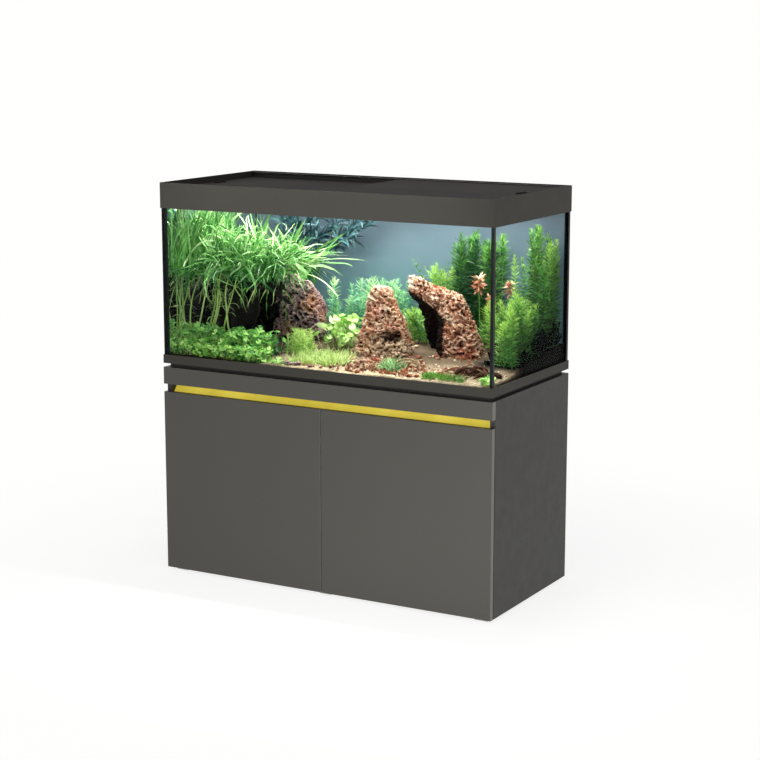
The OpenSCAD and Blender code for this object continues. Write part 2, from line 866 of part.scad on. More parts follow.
// Long leaves on a creeping stem along the driftwood's branch, and tall growth behind it
module java_fern() {
    n = 38;
    rise = perch_r + 8 + seat;
    a = perch_a + [0, 0, rise];
    b = perch_b + [0, 0, rise];
    color("#5fa83a") {
        on_bed(wood_x, wood_y) scale(rock_scale) {
            strand([a, b], 9);
            for (i = [0 : n - 1]) {
                root = a + (b - a) * i / (n - 1);
                turn = i * golden;
                back = sin(turn) > 0.15;
                lift = (back ? 36 : 16) + (back ? 22 : 40) * pow(abs(sin(i * 67)), 1.3);
                // leaves stop short of the side pane and of the front pane, which they lean towards
                side_reach = (plan_x + wood_x - 10) / rock_scale + root[0];
                side_room = cos(turn) < 0 ? side_reach / -cos(turn) : 400;
                front_reach = (plan_y + wood_y - 10) / rock_scale + root[1] - 370 * sin(plan_slope);
                front_room = sin(turn) < 0 ? front_reach / -sin(turn) : 400;
                long = plant_scale * (150 + 80 * abs(sin(i * 41)));
                translate(root) leaf(min(long, side_room / cos(lift), front_room / cos(lift)),
                    12 + 4 * sin(i * 31), lift, turn);
            }
            // leaves that sweep out to the right
            for (i = [0 : 12]) translate(b - [9 * i, 0, 0])
                leaf(plant_scale * (190 + 8 * i), 13, -12 + 4.4 * i, 34 * sin(i * 97));
            // stems that hang down to the sand
            for (i = [0 : 3])
                strand([a + [-16 - 4 * i, -6 * i, 4], a + [-26 - 5 * i, -6 * i - 4, -100],
                    [-128 + 14 * i, -18 - 12 * i, 3.3 + seat]], 3.6);
            for (i = [0 : 3])
                let (top = a + (b - a) * (0.15 + 0.11 * i) + [0, -12, 0])
                    strand([top, top + [-16, -34, -90], [-64 + 38 * i, -96 + 5 * i, 3.3 + seat]], 3.6);
        }
        // tall leaves that stand in the sand behind the driftwood
        for (i = [0 : 8]) on_bed(-606 + 26 * i, 226 + 22 * sin(i * 140)) scale(plant_scale)
            translate([0, 0, seat]) {
                cylinder(14, r1 = 9, r2 = 5, $fn = 8);
                translate([0, 0, 10]) rotate([0, 0, 90 * (i % 2) + 20])
                    leaf(390 - 120 * abs(sin(i * 53)), 34, 84, 20 * i);
            }
        // a stem with broad dark leaves that reach to the right under the hood
        on_bed(-352, 236) scale(plant_scale) translate([0, 0, 4 + seat]) {
            strand([[0, 0, 0], [40, -4, 170], [128, -12, 300]], 4);
            for (i = [0 : 7]) translate([40 + 11 * i, -4 - i, 170 + 16.25 * i])
                leaf(190 + 36 * sin(i * 67), 30, 2.5 * i, -8 + 14 * sin(i * 113));
        }
    }
}

// Low round-leaved ground cover in the front left corner
module carpet_plants() {
    nx = 6;
    ny = 3;
    color("#4f9a3c") for (i = [0 : nx - 1], j = [0 : ny - 1]) {
        k = i * ny + j;
        x = -596 + i * 62 + 8 * sin(k * 73);
        y = -245 + j * 38 + 7 * sin(k * 51);
        on_bed(x, y) scale(plant_scale) translate([0, 0, seat]) {
            h = 26 + 22 * abs(sin(k * 37)) + 10 * j;
            hull() cylinder(h, r1 = 7, r2 = 3, $fn = 3);
            for (m = [0 : 1]) translate([0, 0, h - 6 + 3 * m]) rotate([0, 14, k * 40 + m * 160])
                translate([10, 0, 0]) hull() cylinder(2, r = 14, $fn = 5);
        }
    }
}

// A bush of leaves around a point on the sand
module bush(x, y, n, high, reach, width) {
    on_bed(x, y) scale(plant_scale) translate([0, 0, seat]) {
        hull() {
            cylinder(1, r = 7, $fn = 8);
            translate([0, 0, high * 0.5]) sphere(4, $fn = 6);
        }
        for (i = [0 : n - 1]) translate([0, 0, high * 0.5 * (i + 0.5) / n])
            leaf(reach * (0.8 + 0.2 * sin(i * 61)), width, 34 + 38 * (i + 1) / n, i * golden);
    }
}

module bush_plants() {
    color("#86b84a") {
        // fine leaves at the back
        for (i = [0 : 3]) bush(-168 + 66 * i, 185 + 22 * sin(i * 90), 6, 196, 134, 11);
        bush(150, 150, 6, 140, 52, 11);
        // broad light leaves in front of them
        for (i = [0 : 1]) bush(-146 + 70 * i, -30 - 16 * i, 7, 110 - 30 * i, 74, 30);
    }
}

// Tufts of thin upright blades
module hair_grass() {
    color("#9cc14f") for (t = [[-222, -150, 62], [-170, -178, 54], [-118, -205, 46],
            [-70, -180, 50], [-28, -205, 42]])
        on_bed(t[0], t[1]) scale(plant_scale) translate([0, 0, seat]) {
            cylinder(3, r = 9, $fn = 8);
            for (i = [0 : 8]) rotate([0, 0, i * golden]) translate([3, 0, 1])
                rotate([0, 8 + 2.5 * i, 0]) hull() cylinder(t[2] - 2 * i, r1 = 2.4, r2 = 0.8, $fn = 3);
        }
}

// Upright stem with whorls of fine leaves, drawn as stacked collars
module whorled(x, y, high, r) {
    pitch = 50;
    n = floor(high / pitch);
    on_bed(x, y) scale(plant_scale) rotate([-plan_slope, 0, 0]) {
        translate([0, 0, seat + 0.1]) hull() cylinder(high, r = 3, $fn = 6);
        for (i = [1 : n]) translate([0, 0, high - (n - i) * pitch - 28])
            hull() cylinder(30, r1 = 4, r2 = r * (i < 2 || i == n ? 0.7 : 1), $fn = 6);
    }
}

module stem_plants() {
    color("#3f8f3f") {
        for (s = [[236, 205, 240], [285, 238, 330], [322, 190, 372], [372, 240, 388],
                [418, 205, 330], [446, 144, 160], [596, 10, 175], [596, 74, 250], [598, 142, 330]])
            whorled(s[0], s[1], s[2], 24);
    }
}

module red_plants() {
    color("#a5583c") for (s = [[384, 158, 252], [486, 184, 226]])
        whorled(s[0], s[1], s[2], 26);
}

// Low cushions of moss at the front
module moss() {
    color("#5c9440") for (m = [[168, -222, 30, 26], [205, -236, 20, 14], [372, -238, 30, 12],
            [418, -246, 26, 10]])
        on_bed(m[0], m[1]) scale(plant_scale) seated() hull() {
            for (k = [0 : 4]) rotate([0, 0, 72 * k]) translate([m[2] * 0.6, 0, 2])
                sphere(m[2] * 0.4, $fn = 8);
            translate([0, 0, m[3]]) sphere(m[2] * 0.4, $fn = 8);
        }
}

// ---------- assembly ----------

feet();
cabinet_bottom();
side_panel_left();
side_panel_right();
centre_divider();
back_panel();
cabinet_top();
front_rail();
fascia();
grip_strip();
strip_carrier();
strip_light();
door_bumpers();
hinge_plates();
hinge_arms();
plinth();
safety_mat();
base_frame_front();
base_frame_back();
base_frame_left();
base_frame_right();
glass_bottom();
glass_front();
glass_back();
glass_left();
glass_right();
glass_brace();
silicone_seams();
background_panel();
hood_front();
hood_back();
hood_left();
hood_right();
track_front();
track_back();
light_housings();
light_diffusers();
light_end_caps();
light_brackets();
sand_bed();
rock_left();
rock_centre();
rock_arch();
small_stones();
driftwood();
java_fern();
carpet_plants();
bush_plants();
hair_grass();
stem_plants();
red_plants();
moss();
hinge_links_left();
hinge_links_right();
door_left();
door_right();
hinge_cups_left();
hinge_cups_right();
cover_left();
cover_right();
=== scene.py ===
"""Looks for the aquarium on its stand: finishes for the cabinet, hood and glass, and a planted, rocky
bed inside the tank."""

import math

import bmesh
import bpy
import numpy as np
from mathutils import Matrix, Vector, noise
from mathutils.bvhtree import BVHTree


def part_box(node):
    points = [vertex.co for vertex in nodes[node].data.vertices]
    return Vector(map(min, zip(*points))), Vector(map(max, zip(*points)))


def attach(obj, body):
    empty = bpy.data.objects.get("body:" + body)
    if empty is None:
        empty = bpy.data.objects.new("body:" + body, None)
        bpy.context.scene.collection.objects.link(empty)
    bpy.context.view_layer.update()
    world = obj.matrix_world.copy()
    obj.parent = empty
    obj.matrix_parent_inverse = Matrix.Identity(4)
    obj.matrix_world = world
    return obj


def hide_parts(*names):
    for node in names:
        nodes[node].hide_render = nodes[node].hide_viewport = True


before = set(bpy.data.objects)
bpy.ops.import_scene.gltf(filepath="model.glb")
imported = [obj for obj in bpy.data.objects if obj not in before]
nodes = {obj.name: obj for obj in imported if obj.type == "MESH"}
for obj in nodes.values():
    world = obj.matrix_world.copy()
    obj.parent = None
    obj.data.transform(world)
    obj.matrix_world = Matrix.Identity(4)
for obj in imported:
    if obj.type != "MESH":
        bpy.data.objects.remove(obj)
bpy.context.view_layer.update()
MM = 0.001

# The inside of the tank, from the panes
IN_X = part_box("glass_right")[0][0]
IN_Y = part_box("glass_back")[0][1]
SAND_LO, SAND_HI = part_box("sand_bed")
TOP_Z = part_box("glass_front")[1][2]
SAND_FRONT = 14 * MM
BED_SLOPE = (SAND_HI[2] - SAND_LO[2] - SAND_FRONT) / (SAND_HI[1] - SAND_LO[1])


def bed_z(y):
    """Height of the sand's top at depth y."""
    return SAND_LO[2] + SAND_FRONT + (y - SAND_LO[1]) * BED_SLOPE


# ---------------------------------------------------------------- materials

BLACK = (0, 0, 0)


def hexa(code):
    """A colour written as a screen shows it, turned to the linear values that shaders take."""
    v = [int(code[i : i + 2], 16) / 255 for i in (0, 2, 4)]
    return tuple(c / 12.92 if c <= 0.04045 else ((c + 0.055) / 1.055) ** 2.4 for c in v)


def lit(code, k):
    """A screen code's colour, k times as bright."""
    return tuple(min(1, c * k) for c in hexa(code))


def rgba(c):
    """A colour socket's values, from a grey, three linear values or a screen code."""
    if isinstance(c, str):
        c = hexa(c)
    return (*c, 1) if not isinstance(c, (int, float)) else (c, c, c, 1)


class Mat:
    """A small builder for the nodes of one material, or of the world."""

    def __init__(self, name, owner=None, end="OutputMaterial"):
        self.m = owner or bpy.data.materials.new(name)
        self.m.use_nodes = True
        self.t = self.m.node_tree
        self.t.nodes.clear()
        self.out = self.n(end)

    def put(self, socket, v):
        if isinstance(v, bpy.types.Node):
            v = v.outputs[0]
        if isinstance(v, bpy.types.NodeSocket):
            self.t.links.new(v, socket)
        else:
            socket.default_value = rgba(v) if socket.type == "RGBA" else v

    def n(self, kind, props=None, **ins):
        node = self.t.nodes.new("ShaderNode" + kind)
        for k, v in (props or {}).items():
            setattr(node, k, v)
        for k, v in ins.items():
            self.put(node.inputs[k.replace("_", " ")], v)
        return node

    def coords(self, which="Object"):
        return self.n("TexCoord").outputs[which]

    def stretch(self, *scale):
        """Object coordinates, stretched to a texture's scale along x, y and z."""
        return self.n("Mapping", Vector=self.coords(), Scale=scale)

    def noise(self, scale, detail=4, rough=0.55, vec=None, distortion=0.0):
        return self.n(
            "TexNoise", Vector=vec or self.coords(), Scale=scale, Detail=detail,
            Roughness=rough, Distortion=distortion,
        ).outputs["Fac"]

    def voronoi(self, scale, out):
        return self.n("TexVoronoi", {"feature": "F1"}, Vector=self.coords(), Scale=scale).outputs[out]

    def ramp(self, fac, stops, interpolation="LINEAR"):
        r = self.n("ValToRGB", Fac=fac)
        cr = r.color_ramp
        cr.interpolation = interpolation
        while len(cr.elements) < len(stops):
            cr.elements.new(0.5)
        for e, (p, c) in zip(cr.elements, stops):
            e.position = p
            e.color = rgba(c)
        return r.outputs["Color"]

    def fade(self, fac, start=0.3, end=0.7, low=0.0, high=1.0):
        """A grey that goes from low to high while fac goes from start to end."""
        return self.ramp(fac, [(start, low), (end, high)])

    def share(self, value, start, end):
        """How far a value has come from start to end, from 0 to 1."""
        return self.n("MapRange", Value=value, From_Min=start, From_Max=end).outputs[0]

    def mix(self, fac, a, b):
        x = self.n("Mix", {"data_type": "RGBA", "blend_type": "MIX"})
        self.put(x.inputs[0], fac)
        self.put(x.inputs[6], a)
        self.put(x.inputs[7], b)
        return x.outputs[2]

    def layer(self, fac, a, b):
        """Shader b over shader a, by fac."""
        x = self.n("MixShader", Fac=fac)
        self.put(x.inputs[1], a)
        self.put(x.inputs[2], b)
        return x

    def calc(self, op, a, b=0.0, clamp=False):
        x = self.n("Math", {"operation": op, "use_clamp": clamp})
        self.put(x.inputs[0], a)
        self.put(x.inputs[1], b)
        return x.outputs[0]

    def times(self, a, b):
        return self.calc("MULTIPLY", a, b)

    def plus(self, a, b):
        return self.calc("ADD", a, b)

    def minus(self, a, b, clamp=False):
        return self.calc("SUBTRACT", a, b, clamp)

    def attr(self, name):
        return self.n("Attribute", {"attribute_name": name}).outputs["Fac"]

    def axis(self, axis, which="Object"):
        """The place along x, y or z, or with "Normal" the normal's share along it, with its sign."""
        return self.n("SeparateXYZ", Vector=self.coords(which)).outputs["XYZ".index(axis)]

    def slant(self, axis):
        """How squarely a face looks along an axis, either way."""
        return self.calc("ABSOLUTE", self.axis(axis, "Normal"))

    def bump(self, height, strength, distance):
        return self.n("Bump", Height=height, Strength=strength, Distance=distance).outputs[0]

    def surface(self, shader):
        self.put(self.out.inputs["Surface"], shader)
        return self.m

    def finish(self, **ins):
        return self.surface(self.n("BsdfPrincipled", **ins))


def lacquer(name, face, edge, rough, gloss):
    """Satin lacquer on board: fine orange peel, a slow drift in tone, and, where edge is given, a painted
    highlight: the faces that look along x, the side edges, are paler.
    """
    m = Mat(name)
    tone = m.mix(m.fade(m.noise(2.2, 3, 0.5)), lit(face, 0.94), face)
    tone = m.mix(m.times(m.fade(m.noise(900, 2, 0.6), 0.35, 0.75), 0.1), tone, lit(face, 1.7))
    # Painted highlight: paler side edges, as where they catch the light
    if edge:
        tone = m.mix(m.fade(m.slant("X"), 0.5, 0.8), tone, edge)
    return m.finish(
        Base_Color=tone, Specular_IOR_Level=gloss,
        Roughness=m.fade(m.noise(30, 4, 0.6), low=rough - 0.05, high=rough + 0.05),
        Normal=m.bump(m.noise(420, 2, 0.5), 0.06, 0.0006),
    )


def moulded(name, colour, rough=0.5, grain=1500, strength=0.15, **more):
    """Plain moulded plastic or rubber with a fine spark-eroded grain."""
    m = Mat(name)
    return m.finish(
        Base_Color=m.mix(m.fade(m.noise(35, 4, 0.6)), lit(colour, 0.88), lit(colour, 1.12)),
        Roughness=m.fade(m.noise(60, 3), low=rough - 0.06, high=rough + 0.06),
        Normal=m.bump(m.noise(grain, 2, 0.6), strength, 0.0004), **more,
    )


def brushed(name, colour, axis, rough):
    """Brushed or drawn metal: streaks along one axis."""
    m = Mat(name)
    scale = [900.0, 900.0, 900.0]
    scale["XYZ".index(axis)] = 12.0
    streak = m.noise(1.0, 3, 0.6, vec=m.stretch(*scale))
    return m.finish(
        Base_Color=m.mix(m.fade(streak), lit(colour, 0.8), colour), Metallic=1.0,
        Roughness=m.fade(streak, low=rough - 0.08, high=rough + 0.1), Normal=m.bump(streak, 0.12, 0.0003),
    )


def glass(name, axis, inner):
    """A clear pane: see-through, dark polished edges, a faint reflection at a slant. Its wet face looks
    the way inner says, +1 or -1 along axis. From there, past the critical angle, the pane is a mirror,
    as on a filled tank."""
    m = Mat(name)
    facing = m.n("LayerWeight", Blend=0.5).outputs["Facing"]
    clear = m.n("BsdfTransparent", Color=(0.975, 0.985, 0.98))
    gloss = m.n("BsdfGlossy", Color=(0.85, 0.92, 0.95), Roughness=0.0)
    sheen = m.ramp(facing, [(0.0, 0.0), (0.5, 0.001), (0.65, 0.006), (0.85, 0.08), (1.0, 0.5)])
    wet = m.fade(m.times(m.axis(axis, "Normal"), inner), 0.5, 0.9)
    wet = m.times(wet, m.minus(1.0, m.n("NewGeometry").outputs["Backfacing"]))
    wet = m.times(wet, m.fade(facing, 0.32, 0.38, 0.0, 0.995))
    pane = m.layer(m.calc("MAXIMUM", sheen, wet), clear, gloss)
    side = m.n("BsdfPrincipled", Base_Color="28302d", Roughness=0.4, Specular_IOR_Level=0.08)
    return m.surface(m.layer(m.fade(m.slant(axis), 0.5, 0.9, 1.0, 0.0), pane, side))


def leaf(name, low, mid, high, glow, rough=0.42, gloss=0.35):
    """Leaf: each leaf has its own tint, pales to its tip and carries fine veins. Its glow is painted light:
    it stands for the light that comes through the leaf and lifts leaves that lie in shade."""
    m = Mat(name)
    tint = m.attr("tint")
    base = m.ramp(tint, [(0.0, low), (0.5, mid), (1.0, high)])
    base = m.mix(m.times(m.times(m.attr("along"), tint), 0.5), base, high)
    base = m.mix(m.times(m.fade(m.noise(160, 3, 0.6)), 0.25), base, m.mix(0.5, base, low))
    return m.finish(
        Base_Color=base, Roughness=rough, Specular_IOR_Level=gloss, Emission_Color=base,
        Emission_Strength=glow, Normal=m.bump(m.noise(90, 3, 0.6), 0.3, 0.0006),
    )


def stone(name, pit, body, ridge, rust, red, pale, rust_share, seed):
    """Porous, ridged stone: dark in its hollows, from its own darker pores and from painted shade, pale on
    its crests, from its paler ridges and a painted highlight, with rusty fields and fine grit.
    """
    m = Mat(name)
    here = m.n("Mapping", Vector=m.coords(), Location=(seed, seed * 2, 0), Scale=(1, 1, 1.35))

    def crests(scale, distortion):
        n = m.noise(scale, 3, 0.55, vec=here, distortion=distortion)
        return m.minus(1.0, m.times(m.calc("ABSOLUTE", m.minus(n, 0.5)), 7.0), clamp=True)

    coarse, small = crests(34.0, 1.1), crests(88.0, 0.8)
    grit = m.noise(620, 3, 0.7)
    # The cavity attribute: the stone's relief, darkened by painted shade where rock above keeps the light off
    # and raised by a painted highlight on a lit tip
    relief = m.plus(m.times(m.attr("cavity"), 0.44), m.times(coarse, 0.36))
    relief = m.plus(relief, m.times(small, 0.2))
    tone = m.ramp(relief, [(0.14, pit), (0.32, lit(body, 0.45)), (0.5, body), (0.72, ridge), (0.93, pale)])
    streak = m.noise(1.0, 4, 0.65, vec=m.stretch(46.0, 46.0, 130.0), distortion=1.6)
    tone = m.mix(m.fade(streak, 0.36, 0.5, 0.75, 0.0), tone, lit(body, 0.4))
    less = 0.12 * rust_share
    stain = m.fade(m.noise(7.0, 3, 0.55, vec=here), 0.52 - less, 0.64 - less)
    stain = m.times(stain, m.ramp(relief, [(0.15, 0.1), (0.4, 0.85), (0.85, 0.3)]))
    warm = m.mix(m.fade(m.noise(11.0, 2, 0.5, vec=here), 0.42, 0.58), rust, red)
    tone = m.mix(stain, tone, m.mix(m.fade(small, 0.1, 0.8, 0.65, 0.0), warm, lit(rust, 0.3)))
    tone = m.mix(m.times(m.fade(grit, 0.55, 0.75), 0.1), tone, pale)
    # Painted shade: points that lose the light from above to the rock go almost black
    tone = m.mix(m.fade(m.attr("painted_shade"), 0.3, 0.62, 0.0, 0.98), tone, lit(pit, 0.3))
    h = m.plus(m.times(coarse, 0.5), m.times(small, 0.4))
    h = m.plus(h, m.times(grit, 0.12))
    return m.finish(
        Base_Color=tone, Roughness=0.85, Specular_IOR_Level=0.15, Normal=m.bump(h, 0.9, 0.005)
    )


def accent_strip():
    """Translucent yellow strip with faint ribbing. Its glow is painted light, for the LED tape behind it and
    against the shade of its recess, and paler patches along its length are painted pools of light.
    """
    m = Mat("accent_strip")
    ribs = m.noise(1.0, 2, 0.5, vec=m.stretch(40.0, 900.0, 900.0))
    # Painted pools of light along the strip
    painted_light_pool = m.noise(7.0, 2, 0.5, vec=m.stretch(1.0, 0.1, 0.1))
    tone = m.mix(m.times(m.fade(ribs), 0.25), m.mix(m.fade(painted_light_pool), "d0bb37", "efda50"), "f6e274")
    return m.finish(
        Base_Color=tone, Roughness=0.35, Specular_IOR_Level=0.4,
        Emission_Color=tone, Emission_Strength=0.6, Normal=m.bump(ribs, 0.15, 0.0004),
    )


def cover_panel():
    """Brown-black lid panel: a hairline grain along its length and a very soft sheen."""
    m = Mat("cover_panel")
    grain = m.noise(1.0, 3, 0.6, vec=m.stretch(14.0, 700.0, 700.0))
    tone = m.mix(m.fade(m.noise(6.0, 3, 0.5)), "1f1918", "2b2322")
    tone = m.mix(m.times(m.fade(grain, 0.4, 0.8), 0.25), tone, "41363a")
    return m.finish(Base_Color=tone, Roughness=0.55, IOR=1.07, Normal=m.bump(grain, 0.1, 0.0003))


def background_sheet():
    """Graded sheet behind the tank: grey-blue above, teal-grey below, darker to the ends. Its glow is painted
    light.
    """
    m = Mat("background_sheet")
    off = m.calc("ABSOLUTE", m.minus(m.axis("X"), 0.02))
    cloud = m.times(m.minus(m.noise(3.0, 3, 0.5), 0.5), 0.25)
    up = m.ramp(
        m.plus(m.share(m.axis("Z"), SAND_HI[2], TOP_Z), cloud),
        [(0.0, "5a8489"), (0.3, "7aa7b0"), (0.6, "86a4b5"), (0.85, "94abc0"), (1.0, "a5bbcd")],
    )
    far = m.mix(m.fade(m.share(off, 0.0, IN_X), 0.3, 1.0, 0.0, 0.45), up, "4a5b66")
    far = m.mix(m.times(m.fade(m.noise(240, 3, 0.6), 0.4, 0.7), 0.06), far, "c5d5e2")
    far = m.mix(0.28, far, BLACK)
    # A glow that is painted light, though the sheet is no lamp
    return m.finish(
        Base_Color=m.mix(0.4, far, BLACK), Roughness=0.6, Emission_Color=far, Emission_Strength=0.4,
        Normal=m.bump(m.noise(60, 2), 0.05, 0.001),
    )


def sand_grains():
    """Mixed grains from cream to brown, darker between them as painted shade, darker brown behind the front
    strip, and near-black under the fern, as painted shade, and in the back right corner.
    """
    m = Mat("sand_grains")
    grain = m.n("SeparateColor", Color=m.voronoi(420, "Color")).outputs[0]
    tone = m.ramp(grain, [(0.0, "735d46"), (0.25, "a48d6d"), (0.6, "c6b596"), (1.0, "e2d5bd")])
    tone = m.mix(m.times(m.fade(m.noise(16, 4, 0.6), 0.4, 0.7), 0.4), tone, "9c8460")
    d = m.voronoi(420, "Distance")
    # Painted shade between the grains
    tone = m.mix(m.fade(d, 0.35, 0.8, 0.0, 0.45), tone, "5a4a38")
    stray = m.times(m.minus(m.noise(11, 4, 0.6), 0.5), 0.22)
    x, y = m.plus(m.axis("X"), stray), m.plus(m.axis("Y"), stray)
    # Darker brown from the front strip back
    tone = m.mix(m.times(m.share(y, -0.235, -0.1), 0.85), tone, "403022")
    # Near-black in the back right corner, and left of the middle, under the fern, as painted shade
    corner = m.times(m.share(x, 0.42, 0.5), m.share(y, -0.13, -0.03))
    under = m.times(m.share(x, -0.2, -0.3), 0.9)
    tone = m.mix(m.calc("MAXIMUM", corner, under), tone, "0b0907")
    return m.finish(Base_Color=tone, Roughness=0.85, Specular_IOR_Level=0.15, Normal=m.bump(d, 0.6, 0.0012))


def pebbles():
    m = Mat("pebbles")
    tone = m.ramp(m.attr("tint"), [(0.0, "4c3a2c"), (0.3, "8a6246"), (0.6, "c2a27c"), (1.0, "efe3ca")])
    f = m.noise(600, 4, 0.6)
    tone = m.mix(m.times(f, 0.35), tone, "5c4634")
    return m.finish(Base_Color=tone, Roughness=0.6, Normal=m.bump(f, 0.4, 0.0008))


def wood(name, dark, mid, light):
    m = Mat(name)
    g = m.noise(1.0, 5, 0.65, vec=m.stretch(30.0, 120.0, 60.0), distortion=1.2)
    tone = m.ramp(g, [(0.25, dark), (0.55, mid), (0.8, light)])
    return m.finish(Base_Color=tone, Roughness=0.8, Specular_IOR_Level=0.2, Normal=m.bump(g, 0.8, 0.003))


def pale_root():
    m = Mat("pale_root")
    g = m.noise(1.0, 5, 0.65, vec=m.stretch(160.0, 160.0, 70.0))
    tone = m.ramp(g, [(0.25, "3f2a1c"), (0.5, "8a6a4c"), (0.8, "c8ad88")])
    return m.finish(Base_Color=tone, Roughness=0.75, Normal=m.bump(g, 0.6, 0.0015))


# The finishes: M holds them by a short name
TAPE_LIGHT = dict(Emission_Color=(1, 0.95, 0.8), Emission_Strength=0.4)
LAMP_LIGHT = dict(Emission_Color=(1, 0.98, 0.93), Emission_Strength=1.2)
M = {
    # One anthracite lacquer in three copies: the front one lighter, the body and hood ones darker, painted
    # light and shade for how the light falls on each part
    "body": lacquer("satin_body", "444340", None, rough=0.48, gloss=0.14),
    "front": lacquer("satin_front", "55534e", "7b7b74", rough=0.42, gloss=0.2),
    "hood": lacquer("satin_hood", "46443f", None, rough=0.5, gloss=0.06),
    "dark_board": moulded("black_board", "1e1d1c", 0.7, 500, 0.3),
    "foot": moulded("foot_plastic", "c4c4c0", 0.45),
    "black": moulded("black_plastic", "26241f", 0.5),
    "tape": moulded("led_tape", "f0efe2", 0.4, **TAPE_LIGHT),
    "bumper": moulded("bumper_rubber", "8c8b86", 0.35, 800, 0.1),
    "silicone": moulded("silicone_bead", "262b29", 0.4, 300, 0.2, Specular_IOR_Level=0.1),
    "foam": moulded("foam_mat", "33373a", 0.9, 1100, 0.9),
    "steel": brushed("hinge_steel", "c4c5c6", "Z", 0.25),
    "alu": brushed("anodised_bar", "a9abad", "X", 0.35),
    "diffuser": moulded("opal_diffuser", "eef0ea", 0.4, **LAMP_LIGHT),
    "strip": accent_strip(), "cover": cover_panel(), "background": background_sheet(),
    "sand": sand_grains(), "pebble": pebbles(), "twig": pale_root(),
    # Bog wood, near-black: its own dark brown, darkened further as painted shade for the hollow under the
    # fern
    "wood": wood("bog_wood", "050404", "0e0b0a", "2a201a"),
    "log": wood("sunk_wood", "120a08", "4a2a1c", "9a6a48"),
    # Near-black leaves: painted shade, where the thickets stand in shade
    "painted_shade": leaf("leaf_painted_shade", "020303", "060b0a", "10221a", glow=0.0, rough=0.9, gloss=0.08),
}
# Each stone: pit, body, ridge, rust, red and pale tones, the share of rust, and its own pattern
for name, *tones, rust_share, pattern in (
    ("rock_dark", "0d090b", "745e66", "b89e9a", "bc7c4c", "8c5c5c", "e2cabc", 0.35, 3.0),
    ("rock_tan", "170e0b", "a27c60", "dec6a6", "bc7854", "c46c5c", "f4e8d0", 0.35, 7.0),
    ("rock_rust", "120a09", "88543f", "cba284", "b4683e", "ac5440", "f6e8d2", 0.4, 11.0),
):
    M[name] = stone(name, *tones, rust_share, pattern)
# Each pane: its thin axis, and the way its inner face looks along it
for pane, axis, inner in (
    ("front", "Y", 1), ("back", "Y", -1), ("left", "X", 1), ("right", "X", -1), ("bottom", "Z", 1),
    ("brace", "Z", -1),
):
    M["glass_" + pane] = glass("pane_" + pane, axis, inner)
# Each leaf: its short name, the material's name, the tones for shaded, middle and lit growth, and the glow,
# which is painted light
for key, *leaf_look in (
    ("litter", "leaf_litter", "2e1a10", "6b4228", "a8764a", 0.02),
    ("fern", "leaf_fern", "175820", "64b04a", "dceeba", 0.08),
    ("fern_dark", "leaf_shade", "0b2026", "1c3c44", "42686c", 0.02),
    ("fern_stem", "stem_fern", "55822c", "8fb254", "cfdc9c", 0.05),
    ("carpet", "leaf_carpet", "0f481d", "5aae48", "c8ea84", 0.19),
    ("feather", "leaf_feather", "236a4c", "62b082", "cdeaa2", 0.12),
    ("lime", "leaf_lime", "50982e", "9ace58", "e8f6c0", 0.11),
    ("grass", "leaf_grass", "70a03c", "b6d46a", "f0f4c4", 0.13),
    ("stem", "leaf_stem", "0d3a1c", "3a8a34", "b4dc64", 0.03),
    ("red", "leaf_red", "70402a", "b87454", "e8bc9e", 0.05),
    ("moss", "leaf_moss", "1c5a1c", "4f9a2c", "a4d45c", 0.08),
    ("sprig", "leaf_sprig", "34803a", "82bc72", "dcf2c4", 0.06),
):
    M[key] = leaf(*leaf_look)

# The finish for each of the record's material slots
FINISHES = {
    "body_lacquer": "body", "front_lacquer": "front", "hood_lacquer": "hood",
    "dark_board": "dark_board", "foot_plastic": "foot", "accent_strip": "strip",
    "black_plastic": "black", "led_tape": "tape", "bumper_rubber": "bumper",
    "hinge_steel": "steel", "mat_foam": "foam", "silicone": "silicone",
    "background": "background", "cover_panel": "cover", "light_metal": "alu",
    "light_diffuser": "diffuser", "sand": "sand", "rock_dark": "rock_dark",
    "rock_tan": "rock_tan", "rock_rust": "rock_rust", "bog_wood": "wood",
    "leaf_fern": "fern", "leaf_carpet": "carpet", "leaf_bush": "feather",
    "leaf_grass": "grass", "leaf_stem": "stem", "leaf_red": "red", "moss": "moss",
}
for name, obj in nodes.items():
    finish = name
    if not name.startswith("glass_"):
        slot_name = obj.material_slots[0].material.name
        finish = next(v for k, v in FINISHES.items() if slot_name.startswith(k))
    for slot in obj.material_slots:
        slot.material = M[finish]

# ---------------------------------------------------------------- mesh makers

rng = np.random.default_rng(20)
# Blender's vector noise starts from the clock unless it is given a seed
noise.seed_set(2)
WALL_GAP = 2 * MM
TOP_GAP = 4 * MM


def unit(v):
    return v / np.maximum(np.linalg.norm(v, axis=-1, keepdims=True), 1e-9)


def mm(*v):
    """A point or a way, given in millimetres."""
    return np.array(v, dtype=float) * MM


def below(x, limit, band):
    """1 where x is lower than limit by band or more, 0 where it is higher than limit."""
    return np.clip((limit - x) / band, 0, 1)


def keep_in(v):
    """Keeps every point inside the panes and under their top edge."""
    v[..., 0] = np.clip(v[..., 0], -IN_X + WALL_GAP, IN_X - WALL_GAP)
    v[..., 1] = np.clip(v[..., 1], -IN_Y + WALL_GAP, IN_Y - WALL_GAP)
    v[..., 2] = np.minimum(v[..., 2], TOP_Z - TOP_GAP)
    return v


def add(name, data):
    """A new object in the scene: a mesh, a lamp or a camera."""
    obj = bpy.data.objects.new(name, data)
    bpy.context.scene.collection.objects.link(obj)
    return obj


def keep_values(me, key, values):
    """Keeps one number for each point of a mesh, for its material to read."""
    a = me.attributes.new(key, "FLOAT", "POINT")
    a.data.foreach_set("value", np.asarray(values, dtype=np.float32).ravel())


